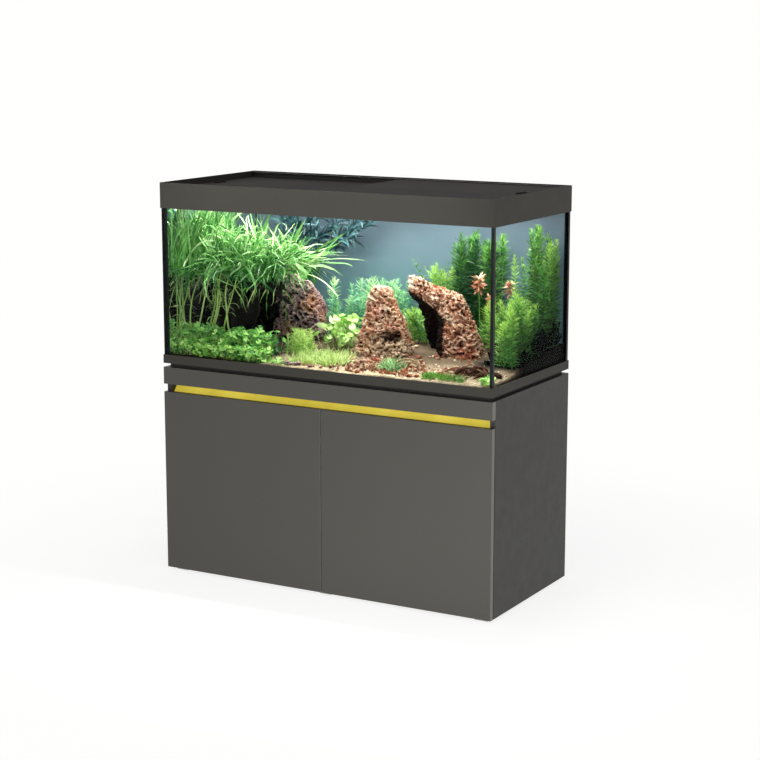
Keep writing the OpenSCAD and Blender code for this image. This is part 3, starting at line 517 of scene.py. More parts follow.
def piece(name, verts, faces, material, values=None, body="aquarium", smooth=True):
    """One mesh object from arrays. faces is a list of index arrays, each with its own corner count."""
    me = bpy.data.meshes.new(name)
    verts = np.asarray(verts, dtype=np.float32).reshape(-1, 3)
    me.vertices.add(len(verts))
    me.vertices.foreach_set("co", verts.ravel())
    idx = np.concatenate([f.ravel() for f in faces]).astype(np.int32)
    totals = np.concatenate([np.full(len(f), f.shape[1]) for f in faces]).astype(np.int32)
    starts = np.concatenate([[0], np.cumsum(totals)[:-1]]).astype(np.int32)
    me.loops.add(len(idx))
    me.loops.foreach_set("vertex_index", idx)
    me.polygons.add(len(totals))
    me.polygons.foreach_set("loop_start", starts)
    me.polygons.foreach_set("loop_total", totals)
    me.polygons.foreach_set("use_smooth", np.full(len(totals), smooth))
    me.update(calc_edges=True)
    for key, v in (values or {}).items():
        keep_values(me, key, v)
    me.validate()
    me.materials.append(M[material])
    obj = add(name, me)
    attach(obj, body)
    return obj


def bend(base, aim, length, droop, seg, curl=0.0, scale=1.0):
    """Paths that start along aim and turn towards the ground, and to any side by curl. length, in
    millimetres, and droop are ranges."""
    n = len(aim)
    step = (rng.uniform(*length, n) * MM * scale / seg)[:, None]
    turn = rng.uniform(*droop, n)[:, None] * np.array([0, 0, -1.0]) / seg
    if curl:
        turn = turn + rng.normal(size=(n, 3)) * curl / seg
    pts = [np.broadcast_to(base, aim.shape)]
    d = unit(aim)
    for k in range(seg):
        d = unit(d + turn * (0.4 + 1.2 * k / seg))
        pts.append(pts[-1] + d * step)
    return np.stack(pts, axis=1)


def blades(path, width, shape, fold, twist, facing):
    """A leaf blade of three rows of points along each path, folded along its rib and as wide as shape
    says."""
    n, k, _ = path.shape
    tan = unit(np.gradient(path, axis=1))
    ref = np.array([0, 0, 1.0]) if facing is None else facing[:, None, :]
    side = unit(np.cross(tan, np.broadcast_to(ref, tan.shape)) + 1e-6)
    up = np.cross(side, tan)
    t = np.linspace(0, 1, k)
    if twist is not None:
        a = twist[:, None, None] * t[None, :, None]
        side, up = side * np.cos(a) + up * np.sin(a), up * np.cos(a) - side * np.sin(a)
    w = width[:, None, None] * shape(t)[None, :, None] / 2
    verts = np.stack([path - side * w + up * w * fold, path, path + side * w + up * w * fold], axis=2)
    i = np.arange(n)[:, None, None] * (k * 3) + np.arange(k - 1)[None, :, None] * 3
    quads = [np.stack([i + c, i + c + 1, i + c + 4, i + c + 3], axis=-1).reshape(-1, 4) for c in (0, 1)]
    along = np.broadcast_to(t[None, :, None], (n, k, 3))
    return verts.reshape(-1, 3), np.concatenate(quads), along.reshape(-1)


def ribbon(t):
    return np.clip(np.minimum(1, (t + 0.06) * 7) * np.minimum(1, (1.02 - t) * 2.2) ** 0.8, 0.04, 1)


def lance(t):
    return np.clip(np.sin(np.pi * np.clip(t, 0.02, 0.98) ** 0.8) ** 0.9, 0.05, 1)


def needle(t):
    return np.clip(1.0 - 0.75 * t, 0.1, 1)


def even(lo, hi):
    """A maker of tints that are spread evenly from lo to hi."""
    return lambda n: rng.uniform(lo, hi, n)


def skew(a, b, k=1.0):
    """A maker of tints from a beta distribution, times k."""
    return lambda n: k * rng.beta(a, b, n)


def plant(name, path, width, material, tint=even(0, 1), shape=ribbon, fold=0.18, twist=0.0,
          facing=None, scatter=1.0):
    """A piece of leaves, one along each path. width is a range in millimetres, tint makes the leaves'
    tints, twist spreads their turns, and they tend to face one way, give or take scatter."""
    n = len(path)
    width = rng.uniform(*width, n) * MM
    twist = rng.normal(0, twist, n) if twist else None
    if facing is not None:
        facing = unit(rng.normal(size=(n, 3)) * scatter + facing)
    v, quads, along = blades(path, width, shape, fold, twist, facing)
    values = {"tint": np.repeat(tint(n), len(v) // n), "along": along}
    return piece(name, keep_in(v), [quads], material, values)


def ring_faces(n, k, sides):
    """The faces between the k rings of points of each of n tubes."""
    i = np.arange(n)[:, None, None] * (k * sides) + np.arange(k - 1)[None, :, None] * sides
    j = np.arange(sides)[None, None, :]
    jn = (j + 1) % sides
    return np.stack([i + j, i + jn, i + sides + jn, i + sides + j], axis=-1).reshape(-1, 4)


def tubes(name, paths, radii, material, sides=7, tint=even(0, 1)):
    """Round stems along paths of equal point count; radii has one row per path."""
    n, k, _ = paths.shape
    tan = unit(np.gradient(paths, axis=1))
    ref = np.where(np.abs(tan[..., 2:3]) > 0.9, np.array([1.0, 0, 0]), np.array([0, 0, 1.0]))
    u = unit(np.cross(tan, ref))
    v = np.cross(tan, u)
    a = np.linspace(0, 2 * np.pi, sides, endpoint=False)[None, None, :, None]
    ring = u[:, :, None, :] * np.cos(a) + v[:, :, None, :] * np.sin(a)
    verts = paths[:, :, None, :] + ring * radii[:, :, None, None]
    first = np.arange(n)[:, None] * (k * sides) + np.arange(sides)[None, :]
    faces = [ring_faces(n, k, sides), first[:, ::-1], first + (k - 1) * sides]
    along = np.broadcast_to(np.linspace(0, 1, k)[None, :, None], (n, k, sides))
    values = {"tint": np.repeat(tint(n), k * sides), "along": along}
    return piece(name, verts, faces, material, values)


def around(n):
    """n random level ways."""
    a = rng.uniform(0, 2 * np.pi, n)
    return np.stack([np.cos(a), np.sin(a), np.zeros(n)], axis=1)


# ---------------------------------------------------------------- rocks and wood

# The ways in which a point of rock looks for the light: one straight up, five steep, six low
WAYS = [(0, 0, 1)]
WAYS += [(k * 1.2566, 0.6, 0.8) for k in range(5)]
WAYS += [(k * 1.0472 + 0.5, 1.0, 0.25) for k in range(6)]
WAYS = [Vector((math.cos(a) * out, math.sin(a) * out, up)).normalized() for a, out, up in WAYS]
FREE = 3 * MM
REACH = 90 * MM
# How far painted shade darkens a point that loses all light from above
SHADE_DEPTH = 0.85


def hidden_share(mesh, points, normals):
    """How much of the light from above each point loses to the rock over and beside it, from 0 to 1."""
    corners = [v.co[:] for v in mesh.vertices]
    tree = BVHTree.FromPolygons(corners, [p.vertices[:] for p in mesh.polygons])
    share = np.zeros(len(points))
    for i, (p, n) in enumerate(zip(points, normals)):
        start, up = Vector(p) + Vector(n) * FREE, Vector(n)
        open_ways = [w for w in WAYS if w.dot(up) > 0.02]
        stopped = sum(tree.ray_cast(start, w, REACH)[0] is not None for w in open_ways)
        share[i] = stopped / len(open_ways) if open_ways else 0.75
    return share


def point_rows(me, what):
    rows = np.empty(len(me.vertices) * 3, dtype=np.float32)
    me.vertices.foreach_get(what, rows)
    return rows.reshape(-1, 3)


def crest(v):
    """Noise that peaks at 1 in sharp ridges."""
    return 1 - abs(noise.noise(v)) * 2.4


def rugged(node, material, voxel, depth, scale, seed, pits=0.6, shaded=None, painted_highlight=None):
    """A node's shape, remeshed finely and eroded: ridges, ledges and deep pores, cut inwards or nearly so.
    Points that the rock keeps from the light above get painted shade; the last two arguments say, from x and
    z, where more painted shade makes it black and where a painted highlight makes it pale."""
    obj = add(node + "_worn", nodes[node].data.copy())
    mod = obj.modifiers.new("re", "REMESH")
    mod.mode = "VOXEL"
    mod.voxel_size = voxel
    me = bpy.data.meshes.new_from_object(obj.evaluated_get(bpy.context.evaluated_depsgraph_get()))
    obj.modifiers.clear()
    obj.data = me
    co, no = point_rows(me, "co"), point_rows(me, "normal")
    move, cavity = np.empty(len(co)), np.empty(len(co))
    off = Vector((seed * 1.37, seed * 2.11, seed * 0.73))
    for i in range(len(co)):
        p = Vector(co[i])
        warp = noise.noise_vector(p * scale * 0.5 + off) * 0.5
        big = noise.fractal(p * scale * 0.45 + off, 1.0, 2.0, 3)
        ridge = crest(Vector((p.x, p.y, p.z * 1.5)) * scale + warp + off)
        ridge2 = crest(Vector((p.x, p.y, p.z * 1.3)) * scale * 2.3 + warp * 2 - off)
        cell = noise.voronoi(p * scale * 1.7 + warp * 1.5 + off)[0]
        pore = max(0.0, 1 - cell[0] * 2.6)
        move[i] = 0.45 * big + 0.5 * ridge + 0.35 * ridge2 - pits * 1.5 * pore
        cavity[i] = 0.5 * ridge + 0.42 * ridge2 + 0.12 * big - 1.1 * pore * pits
    lo, hi = np.percentile(move, [2, 98])
    move = np.clip((move - lo) / (hi - lo), -0.1, 1.1) - 0.72
    lo, hi = np.percentile(cavity, [3, 97])
    cavity = np.clip((cavity - lo) / (hi - lo), 0, 1)
    co = keep_in(co + no * (move * depth)[:, None])
    me.vertices.foreach_set("co", co.astype(np.float32).ravel())
    # Painted shade: how much light from above each point loses to the rock, and where shaded adds more
    hidden = hidden_share(me, co, no)
    if shaded:
        hidden = np.maximum(hidden, shaded(co[:, 0], co[:, 2]))
    cavity *= 1 - SHADE_DEPTH * hidden
    # Painted highlight: the pale places given by the last argument
    if painted_highlight:
        cavity = np.maximum(cavity, 1.25 * painted_highlight(co[:, 0], co[:, 2]))
    keep_values(me, "cavity", cavity)
    keep_values(me, "painted_shade", hidden)
    me.polygons.foreach_set("use_smooth", np.ones(len(me.polygons), dtype=bool))
    me.update()
    me.materials.clear()
    me.materials.append(M[material])
    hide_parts(node)
    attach(obj, "aquarium")


def under_the_arch(x, z):
    """The arched rock's left underside, in its own shade."""
    return below(x, 0.335, 0.02) * below(z, 1.005 - 0.6 * (x - 0.26), 0.02)


def lit_tip_highlight(x, z):
    """Painted highlight: the arched rock's upper left tip, pale where the light falls on it."""
    return below(x, 0.216, 0.02) * below(-z, -1.035, 0.02)


FINE = 3 * MM
rugged("rock_left", "rock_dark", FINE, 18 * MM, 38.0, 3)
rugged("rock_centre", "rock_tan", FINE, 14 * MM, 50.0, 8)
rugged("rock_arch", "rock_rust", FINE, 15 * MM, 46.0, 14, 0.6, under_the_arch, lit_tip_highlight)
rugged("small_stones", "rock_dark", FINE, 8 * MM, 80.0, 21, 0.4)
rugged("driftwood", "wood", 5 * MM, 6 * MM, 50.0, 30, 0.2)

# ---------------------------------------------------------------- hinge screws

HINGE_GAP = 60 * MM
HEAD_RADIUS, HEAD_RISE, HEAD_SINK = 3.4 * MM, 1.5 * MM, 0.3 * MM
CROSS_DEPTH, CROSS_HALF, CROSS_REACH = 0.9 * MM, 0.75 * MM, 2.2 * MM
# A screw's seat on a plate's wing: in from its face, back from its front, from its middle height
WING_FACE, WING_FRONT, WING_OFF = 2.5 * MM, 24 * MM, 19 * MM
# And on a cup's flange: towards the middle of the door, over the door's back, from its middle height
EAR_IN, EAR_THICK, EAR_OFF = 3.5 * MM, 1.2 * MM, 22.5 * MM


def hinge_parts(node, side):
    """The boxes of a node's separate hinges on one side: -1 for the left, 1 for the right."""
    co = np.array([v.co[:] for v in nodes[node].data.vertices])
    co = co[co[:, 0] * side > 0]
    co = co[np.argsort(co[:, 2])]
    parts = np.split(co, np.nonzero(np.diff(co[:, 2]) > HINGE_GAP)[0] + 1)
    return [(part.min(axis=0), part.max(axis=0)) for part in parts]


def screws(name, places, out, body):
    """Pan heads with a cross recess: places are their seats, out the way each head faces."""
    rings, corners = 14, 40
    r = np.concatenate([[HEAD_RADIUS], np.linspace(HEAD_RADIUS, 0.12 * MM, rings)])
    a = np.arange(corners) * 2 * np.pi / corners
    u, v = r[:, None] * np.cos(a), r[:, None] * np.sin(a)
    w = HEAD_RISE * np.sqrt(np.clip(1.1 - (r / HEAD_RADIUS) ** 2, 0, None))[:, None] + 0 * u
    w[0] = -HEAD_SINK
    near, far = np.minimum(np.abs(u), np.abs(v)), np.maximum(np.abs(u), np.abs(v))
    w -= CROSS_DEPTH * below(near, CROSS_HALF, 0.3 * MM) * below(far, CROSS_REACH, 0.4 * MM)
    out = np.array(out, dtype=float)
    side = unit(np.cross(out, [0.3, 0.2, 1.0]))
    head = u[..., None] * side + v[..., None] * np.cross(out, side) + w[..., None] * out
    verts = np.array(places)[:, None] + head.reshape(1, -1, 3)
    n = len(places)
    tip = (np.arange(n)[:, None] * (rings + 1) + rings) * corners + np.arange(corners)[None, :]
    piece(name, verts, [ring_faces(n, rings + 1, corners), tip], "steel", body=body)


for side, word in ((-1, "left"), (1, "right")):
    seats = []
    for lo, hi in hinge_parts("hinge_plates", side):
        x = lo[0] + WING_FACE if side < 0 else hi[0] - WING_FACE
        seats += [(x, lo[1] + WING_FRONT, (lo[2] + hi[2]) / 2 + k * WING_OFF) for k in (-1, 1)]
    screws("plate_screws_" + word, seats, (-side, 0, 0), "aquarium")
    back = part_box("door_" + word)[1][1] + EAR_THICK
    seats = []
    for lo, hi in hinge_parts("hinge_cups_" + word, side):
        x = (lo[0] + hi[0]) / 2 - side * EAR_IN
        seats += [(x, back, (lo[2] + hi[2]) / 2 + k * EAR_OFF) for k in (-1, 1)]
    screws("cup_screws_" + word, seats, (0, 1, 0), word + "_door")

# ---------------------------------------------------------------- plants


def spread(lo, hi, n):
    """n random points in a box, in millimetres; a low corner without a height stands on the sand."""
    p = rng.uniform(lo, hi, (n, len(lo))) * MM
    if len(lo) == 3:
        return p
    return np.concatenate([p, bed_z(p[:, 1:2]) - 0.001], axis=1)


def wavy(paths, amp, turns):
    """Sets a sideways wave on each path, growing from its root; amp in millimetres and turns are ranges."""
    n, k, _ = paths.shape
    t = np.linspace(0, 1, k)[None, :]
    chord = unit(paths[:, -1] - paths[:, 0])
    side = unit(np.cross(chord, rng.normal(size=(n, 3))))
    wave = np.sin(2 * np.pi * rng.uniform(*turns, (n, 1)) * t + rng.uniform(0, 6, (n, 1))) * t
    return paths + side[:, None, :] * (wave * rng.uniform(*amp, (n, 1)) * MM)[..., None]


def arc(a, handle, b, t):
    """A curve from a to b, drawn towards handle."""
    return (1 - t) ** 2 * a + 2 * t * (1 - t) * handle + t ** 2 * b


def upright(n, lean):
    """n ways that point up, each leaning somewhere by lean."""
    return around(n) * lean + [0, 0, 1]


# Where the fern's crowns stand on the driftwood's branch, in millimetres
CROWNS = (
    (-608, -150, 1085), (-598, -70, 1100), (-572, -165, 1090), (-560, -95, 1115), (-535, -35, 1110),
    (-520, -130, 1100), (-495, -75, 1120), (-468, -150, 1095), (-455, -40, 1120), (-430, -100, 1115),
    (-400, -150, 1095), (-385, -55, 1120), (-352, -105, 1110), (-322, -50, 1112), (-306, -135, 1095),
    (-270, -85, 1105),
)
# The fern's bare stems: x and y of the foot, the place at half way, and the head, in millimetres
STEMS = (
    (-632, -150, (-578, -140, 972), (-567, -140, 1081)), (-545, -150, (-517, -140, 976), (-524, -140, 1066)),
    (-556, -160, (-531, -140, 939), (-507, -140, 1078)), (-455, -140, (-488, -140, 943), (-477, -140, 1051)),
    (-600, -185, (-612, -180, 950), (-585, -150, 1060)), (-500, -170, (-470, -160, 930), (-440, -140, 1062)),
    (-628, -225, (-622, -215, 930), (-606, -190, 1050)), (-585, -110, (-566, -100, 960), (-560, -95, 1060)),
)


def fern_leaves():
    """The big fern at the left: bursts of long wavy ribbons from its crowns, a sweep of them to the
    right, and taller, wider leaves to the left and behind."""
    paths = []
    each = 52
    for x, y, z in CROWNS:
        base = mm(x, y, z) + rng.normal(size=(each, 3)) * (13, 13, 14) * MM
        aim = around(each) * rng.uniform(0.2, 1.1, (each, 1))
        aim = aim + [0, 0, 1] * rng.uniform(-0.1, 1.3, (each, 1))
        aim = aim + [0.1 + 0.5 * (x + 620) / 360, -0.1, 0]
        paths.append(bend(base, aim, (105, 225), (0.5, 2.4), 12, 0.9, 1.0 - 0.2 * (x + 620) / 360))
    p = wavy(np.concatenate(paths), (2, 9), (0.6, 1.9))
    p[..., 0] = np.minimum(p[..., 0], -0.05)

    def by_height(n):
        """Painted light and shade: tints that are dark low down, in shade, and pale near the light."""
        high = np.clip((p[:, p.shape[1] // 2, 2] / MM - 1060) / 190, 0, 1)
        return np.clip(0.02 + 0.55 * high + rng.normal(0, 0.27, n), 0, 1)

    plant("fern_ribbons", p, (3.6, 7.2), "fern", by_height, twist=1.6, facing=(0, 0, 0.8))
    n = 90
    base = spread((-345, -130, 1085), (-225, 10, 1125), n)
    aim = np.stack([rng.uniform(0.8, 1.3, n), rng.normal(0, 0.22, n), rng.uniform(0.05, 0.85, n)], axis=1)
    p = wavy(bend(base, aim, (100, 232), (0.2, 1.0), 12, 0.4), (1, 7), (0.5, 1.4))
    p[..., 0] = np.minimum(p[..., 0], -0.035)
    plant("fern_sweep", p, (4.5, 8.5), "fern", skew(1.7, 1.4), twist=0.9)
    n = 230
    base = spread((-633, -275, 1050), (-590, 60, 1190), n)
    p = bend(base, around(n) * 0.35 + [0.1, 0, 1], (110, 230), (0.1, 1.2), 10, 0.5)
    plant("fern_wall", wavy(p, (1, 6), (0.5, 1.6)), (4.5, 9), "fern", skew(1.5, 2.6),
          twist=1.2, facing=(1.0, -1.0, 0))
    n = 120
    base = spread((-630, 150, 860), (-380, 262, 1010), n)
    p = bend(base, upright(n, 0.25), (150, 300), (0.1, 0.7), 10, 0.35)
    plant("fern_upright", p, (14, 30), "fern", skew(1.3, 3.0, 0.7), lance, twist=0.7,
          facing=(0.5, -1.2, 0), scatter=0.6)
    n = 70
    base = spread((-615, -170, 1010), (-280, -50, 1075), n)
    p = bend(base, around(n) * 0.8 + [0.1, -0.2, 0.3], (60, 170), (2.0, 5.5), 14, 1.8)
    plant("fern_hangers", wavy(p, (1, 6), (0.8, 2.0)), (2.5, 4.5), "fern_stem", twist=1.5)


def fern_stems():
    """Its bare stems, from the sand to the branch, with short offshoots."""
    points = 18
    t = np.linspace(0, 1, points)[:, None]
    stems = []
    for x, y, half_way, head in STEMS:
        a, b, c = mm(x, y, 0), mm(*half_way), mm(*head)
        a[2] = bed_z(a[1]) + 0.004
        stray = mm(*rng.uniform(-4, 4, 3))
        stems.append(arc(a, 2 * b - (a + c) / 2, c, t) + stray * np.sin(3 * np.pi * t))
    stems = keep_in(np.stack(stems))
    r = np.linspace(3.9, 2.4, points)[None, :] * MM * rng.uniform(0.7, 1.1, (len(stems), 1))
    tubes("fern_stems", stems, r, "fern_stem", tint=even(0.2, 0.8))
    side = []
    for s in stems:
        for k in rng.integers(3, 16, 5):
            side.append(bend(s[k], around(1) + [0, -0.3, 0.4], (25, 70), (0.5, 3), 8))
    plant("fern_offshoots", np.concatenate(side), (2.4, 4.4), "fern_stem", twist=1.0)


# The heads of the dark stems at the back, x and z in millimetres
DARK_HEADS = (
    (-492, 1262), (-440, 1240), (-405, 1216), (-360, 1250), (-319, 1175), (-300, 1262), (-234, 1243),
    (-183, 1180), (-129, 1225), (-100, 1279), (-60, 1290),
)


def dark_growth():
    """Dark feathery stems at the top of the back, seen against the sheet, and the thickets under the fern and
    in the right corner, black with painted shade."""
    stalks, leaves = [], []
    points = 14
    t = np.linspace(0, 1, points)[:, None]
    for i, (x, z) in enumerate(DARK_HEADS):
        foot, head = mm(-470 + 14 * i, 236, 1020), mm(x, 225 + 8 * math.sin(2.3 * i), z)
        s = arc(foot, mm(-440 + 0.45 * (x + 440), 232, 1150 + 0.3 * (z - 1150)), head, t)
        stalks.append(s)
        for k in range(4, points):
            aim = unit(s[k] - s[k - 1]) + rng.normal(size=(5, 3)) * [0.6, 0.25, 0.6]
            leaves.append(bend(s[k], aim, (30, 78), (0.0, 1.2), 8))
    radii = np.full((len(stalks), points), 1.7 * MM)
    tubes("shade_stalks", keep_in(np.stack(stalks)), radii, "fern_dark", sides=5)
    p = np.concatenate(leaves)
    p[..., 0] = np.minimum(p[..., 0], -0.02)
    plant("shade_leaves", p, (5, 11), "fern_dark", shape=lance, twist=0.8,
          facing=(0, -1, 0.2), scatter=0.7)
    # Under the fern: near-black leaves, painted shade
    n = 420
    base = spread((-632, 0), (-385, 150), n)
    base = base + np.array([0, 0, 1]) * rng.uniform(0, 150, (n, 1)) * MM
    p = bend(base, upright(n, 0.35), (50, 110), (0.1, 1.4), 8)
    plant("thicket", p, (9, 20), "painted_shade", skew(1, 3), lance, facing=(0.8, -1.5, 0.3))
    # In the back right corner: near-black leaves, painted shade, those at the front a little less dark
    n = 900
    base = spread((500, -60), (631, 281), n)
    y = base[:, 1]
    grown = np.clip((y[:, None] + 0.08) / 0.16, 0.12, 1)
    base = base + np.array([0, 0, 1]) * rng.uniform(0, 45, (n, 1)) * MM * grown
    p = bend(base, upright(n, 0.45), (35, 80), (0.1, 1.4), 7, scale=grown[:, 0] ** 0.7)
    plant("corner_thicket", p, (8, 17), "painted_shade",
          lambda n: np.where(y < -0.02, 1.0, 0.6 * rng.beta(1, 3, n)), lance, facing=(1.2, -0.8, 0.3))


def discs(name, lo, hi, n, stem, radius, material, tint, tilt=0.5, cup=0.25):
    """n round, slightly cupped, notched leaves over the sand from lo to hi, each on a thin stalk. stem
    and radius are ranges in millimetres."""
    corners = 9
    foot = spread(lo, hi, n)
    tint = tint(n)
    h = rng.uniform(*stem, n) * MM
    lean = rng.normal(size=(n, 3)) * 0.28 + [0, 0, 1]
    head = foot + unit(lean) * h[:, None]
    normal = unit(rng.normal(size=(n, 3)) * tilt + [0.1, -0.25, 1])
    u = unit(np.cross(normal, [0.3, 1.0, 0.1]))
    v = np.cross(normal, u)
    r = rng.uniform(*radius, n) * MM
    a = np.linspace(0.35, 2 * np.pi - 0.35, corners)
    cos, sin = np.cos(a)[None, :, None], np.sin(a)[None, :, None]
    rows = [head[:, None]]
    for share, sag in ((0.55, 0.3), (1.0, 1.0)):
        wave = 1 + 0.07 * np.sin(a * 5)[None, :] * share
        ring = (u[:, None] * cos + v[:, None] * sin) * (r[:, None] * share * wave)[..., None]
        rows.append(head[:, None] + ring + normal[:, None] * (r * cup * sag)[:, None, None])
    k = 1 + 2 * corners
    i = np.arange(n)[:, None] * k
    c = np.arange(corners - 1)[None, :]
    tri = np.stack([i + 0 * c, i + 1 + c, i + 2 + c], axis=-1).reshape(-1, 3)
    quad = np.stack([i + 1 + c, i + 1 + corners + c, i + 2 + corners + c, i + 2 + c], axis=-1)
    along = np.concatenate([[0], np.full(corners, 0.4), np.full(corners, 1.0)])
    values = {"tint": np.repeat(tint, k), "along": np.tile(along, n)}
    verts = keep_in(np.concatenate(rows, axis=1))
    piece(name, verts, [tri, quad.reshape(-1, 4)], material, values)
    t = np.linspace(0, 1, 5)[None, :, None]
    bow = unit(rng.normal(size=(n, 3)))[:, None] * (0.12 * h)[:, None, None] * np.sin(np.pi * t)
    path = foot[:, None] + (head - foot)[:, None] * t + bow
    tubes(name + "_stalks", keep_in(path), np.full((n, 5), 0.8 * MM), "fern_stem", sides=4)


def tufts(name, lo, hi, n, each, height, lean, width, material, tint):
    """n bunches of narrow blades over the sand from lo to hi, each bunch from one root."""
    foot = np.repeat(spread(lo, hi, n), each, axis=0)
    n = len(foot)
    foot = foot + rng.normal(size=(n, 3)) * [0.006, 0.006, 0]
    aim = around(n) * rng.uniform(0, lean, (n, 1)) + [0, 0, 1]
    p = bend(foot, aim, height, (0.2, 1.5), 6)
    plant(name, p, width, material, tint, needle, facing=(0.5, -1, 0))


def stand(n, x, y, height, lean=(0, 0), stray=12):
    """n stems over a rectangle of sand: their feet, heights and leanings, in millimetres."""
    stems = []
    for _ in range(n):
        foot = rng.uniform(*x), rng.uniform(*y), rng.uniform(*height)
        stems.append((*foot, [side + rng.uniform(-stray, stray) for side in lean]))
    return stems


def whorls(name, stems, pitch, each, length, width, lift, material, slot, tint, tip=0.35, taper=0.25):
    """Stem plants: rings of fine leaves along each stem, closer to upright and shorter at the tip, where
    the tint is palest."""
    paths, tints, lines, radii = [], [], [], []
    points = 16
    t = np.linspace(0, 1, points)[:, None]
    for x, y, height, lean in stems:
        foot = mm(x, y, 0)
        foot[2] = bed_z(foot[1]) - 0.002
        bow = mm(*rng.uniform(-7, 7, 2), 0) * np.sin(np.pi * 2 * t)
        line = foot + t * mm(0, 0, height) + mm(*lean, 0) * t ** 1.6 + bow
        lines.append(line)
        radii.append(np.linspace(1.7, 0.8, points) * MM)
        own = rng.normal(0, 0.14)
        rings = int(height / pitch)
        for j in range(1, rings + 1):
            f = (j / rings) ** 0.94
            at = np.array([np.interp(f, t[:, 0], line[:, c]) for c in range(3)])
            a = np.arange(each) * 2 * np.pi / each + rng.uniform(0, 1.5)
            size = (1 - taper * f) * (0.45 + 0.55 * min(1, (1 - f) * 7 + 0.2)) * rng.uniform(0.75, 1.2)
            aim = np.stack([np.cos(a), np.sin(a), np.full(each, lift + 1.6 * f ** 8)], axis=1)
            aim = aim + rng.normal(size=(each, 3)) * 0.25
            paths.append(bend(at, aim, length, (0, 0.8), 5, scale=size))
            tints.append(np.clip(tint + own + tip * f ** 2.5 + rng.normal(0, 0.14, each), 0, 1))
    tints = np.concatenate(tints)
    plant(name, np.concatenate(paths), width, material, lambda n: tints, needle, 0.1,
          facing=(0.4, -0.6, 0.4))
    tubes(name + "_stems", keep_in(np.stack(lines)), np.stack(radii), material, sides=6)


def rosettes():
    """Copper rosettes: a bare stem that ends in tiers of pointed leaves, the upper ones paler and more
    upright."""
    paths, tints, stems = [], [], []
    tiers = 8
    for x, y, z, size in ((380, 152, 1078, 1.0), (412, 176, 1016, 0.55), (486, 182, 1066, 0.8),
                          (566, 210, 1120, 0.55)):
        foot, head = mm(x, y, 0), mm(x - 6, y - 8, z)
        foot[2] = bed_z(foot[1])
        stems.append(foot + (head - foot) * np.linspace(0, 1, 12)[:, None])
        for tier in range(tiers):
            m = 12 if tier < 6 else 8
            at = head - mm(0, 0, 5.5 * (tiers - 1 - tier))
            aim = around(m) + rng.normal(size=(m, 3)) * 0.3 + [0, 0, 0.13 * tier - 0.1]
            paths.append(bend(at, aim, (18, 38), (0.2, 1.1), 6, scale=size))
            tints.append(np.clip(0.1 + 0.09 * tier + rng.normal(0, 0.22, m), 0, 1))
    tints = np.concatenate(tints)
    plant("red_crowns", np.concatenate(paths), (3.6, 7), "red", lambda n: tints, lance,
          facing=(0, -0.3, 1), scatter=0.5)
    radii = np.full((len(stems), 12), 1.1 * MM)
    tubes("red_crown_stems", np.stack(stems), radii, "stem", sides=6)


def carpet():
    """Round-leaved ground cover: dark leaves low down, painted shade under the carpet, darker ones at the
    back, small lime ones at the front.
    """
    # Painted shade: very dark low leaves under the carpet
    discs("carpet_shade", (-628, -278), (-255, -140), 420, (2, 26), (9, 14), "carpet",
          even(0, 0.12), 0.8)
    discs("carpet_leaves", (-628, -215), (-262, -135), 330, (28, 84), (9, 14.5), "carpet",
          skew(1.4, 2.6))
    discs("carpet_front", (-628, -276), (-250, -205), 620, (10, 42), (5.5, 9.5), "carpet",
          skew(2.4, 1.5))
    discs("carpet_edge", (-628, -280), (-140, -240), 260, (3, 16), (3.5, 6.5), "lime",
          even(0, 0.7))


def bushes():
    """The pale leaves and fine-leaved bushes of the middle, with the hair grass in front of them."""
    slot = "leaf_bush"
    discs("pale_leaves", (-128, -70), (-42, 50), 64, (25, 118), (11, 21), "lime",
          even(0.2, 1.0), 0.75, 0.45)
    whorls("bush_back", stand(28, (-236, 40), (150, 262), (130, 200), (6, 0), 20),
           9, 7, (26, 48), (2.4, 4.2), 0.55, "feather", slot, 0.3)
    whorls("bush_back_low", stand(16, (-220, -20), (60, 150), (70, 130), (4, 0), 14),
           8, 7, (22, 38), (2.2, 3.8), 0.6, "feather", slot, 0.12)
    whorls("bush_front", stand(22, (-236, -150), (-160, -88), (46, 88), (0, 0), 10),
           7, 8, (18, 32), (1.8, 3.2), 0.8, "grass", slot, 0.1)
    whorls("bush_middle", stand(13, (110, 196), (110, 190), (92, 150)),
           8, 7, (20, 38), (2.2, 3.8), 0.7, "stem", slot, 0.4, 0.5)
    tufts("hair_grass_blades", (-150, -240), (45, -130), 110, 11, (14, 50), 1.2, (1.6, 3.0),
          "grass", skew(1.3, 1.3))


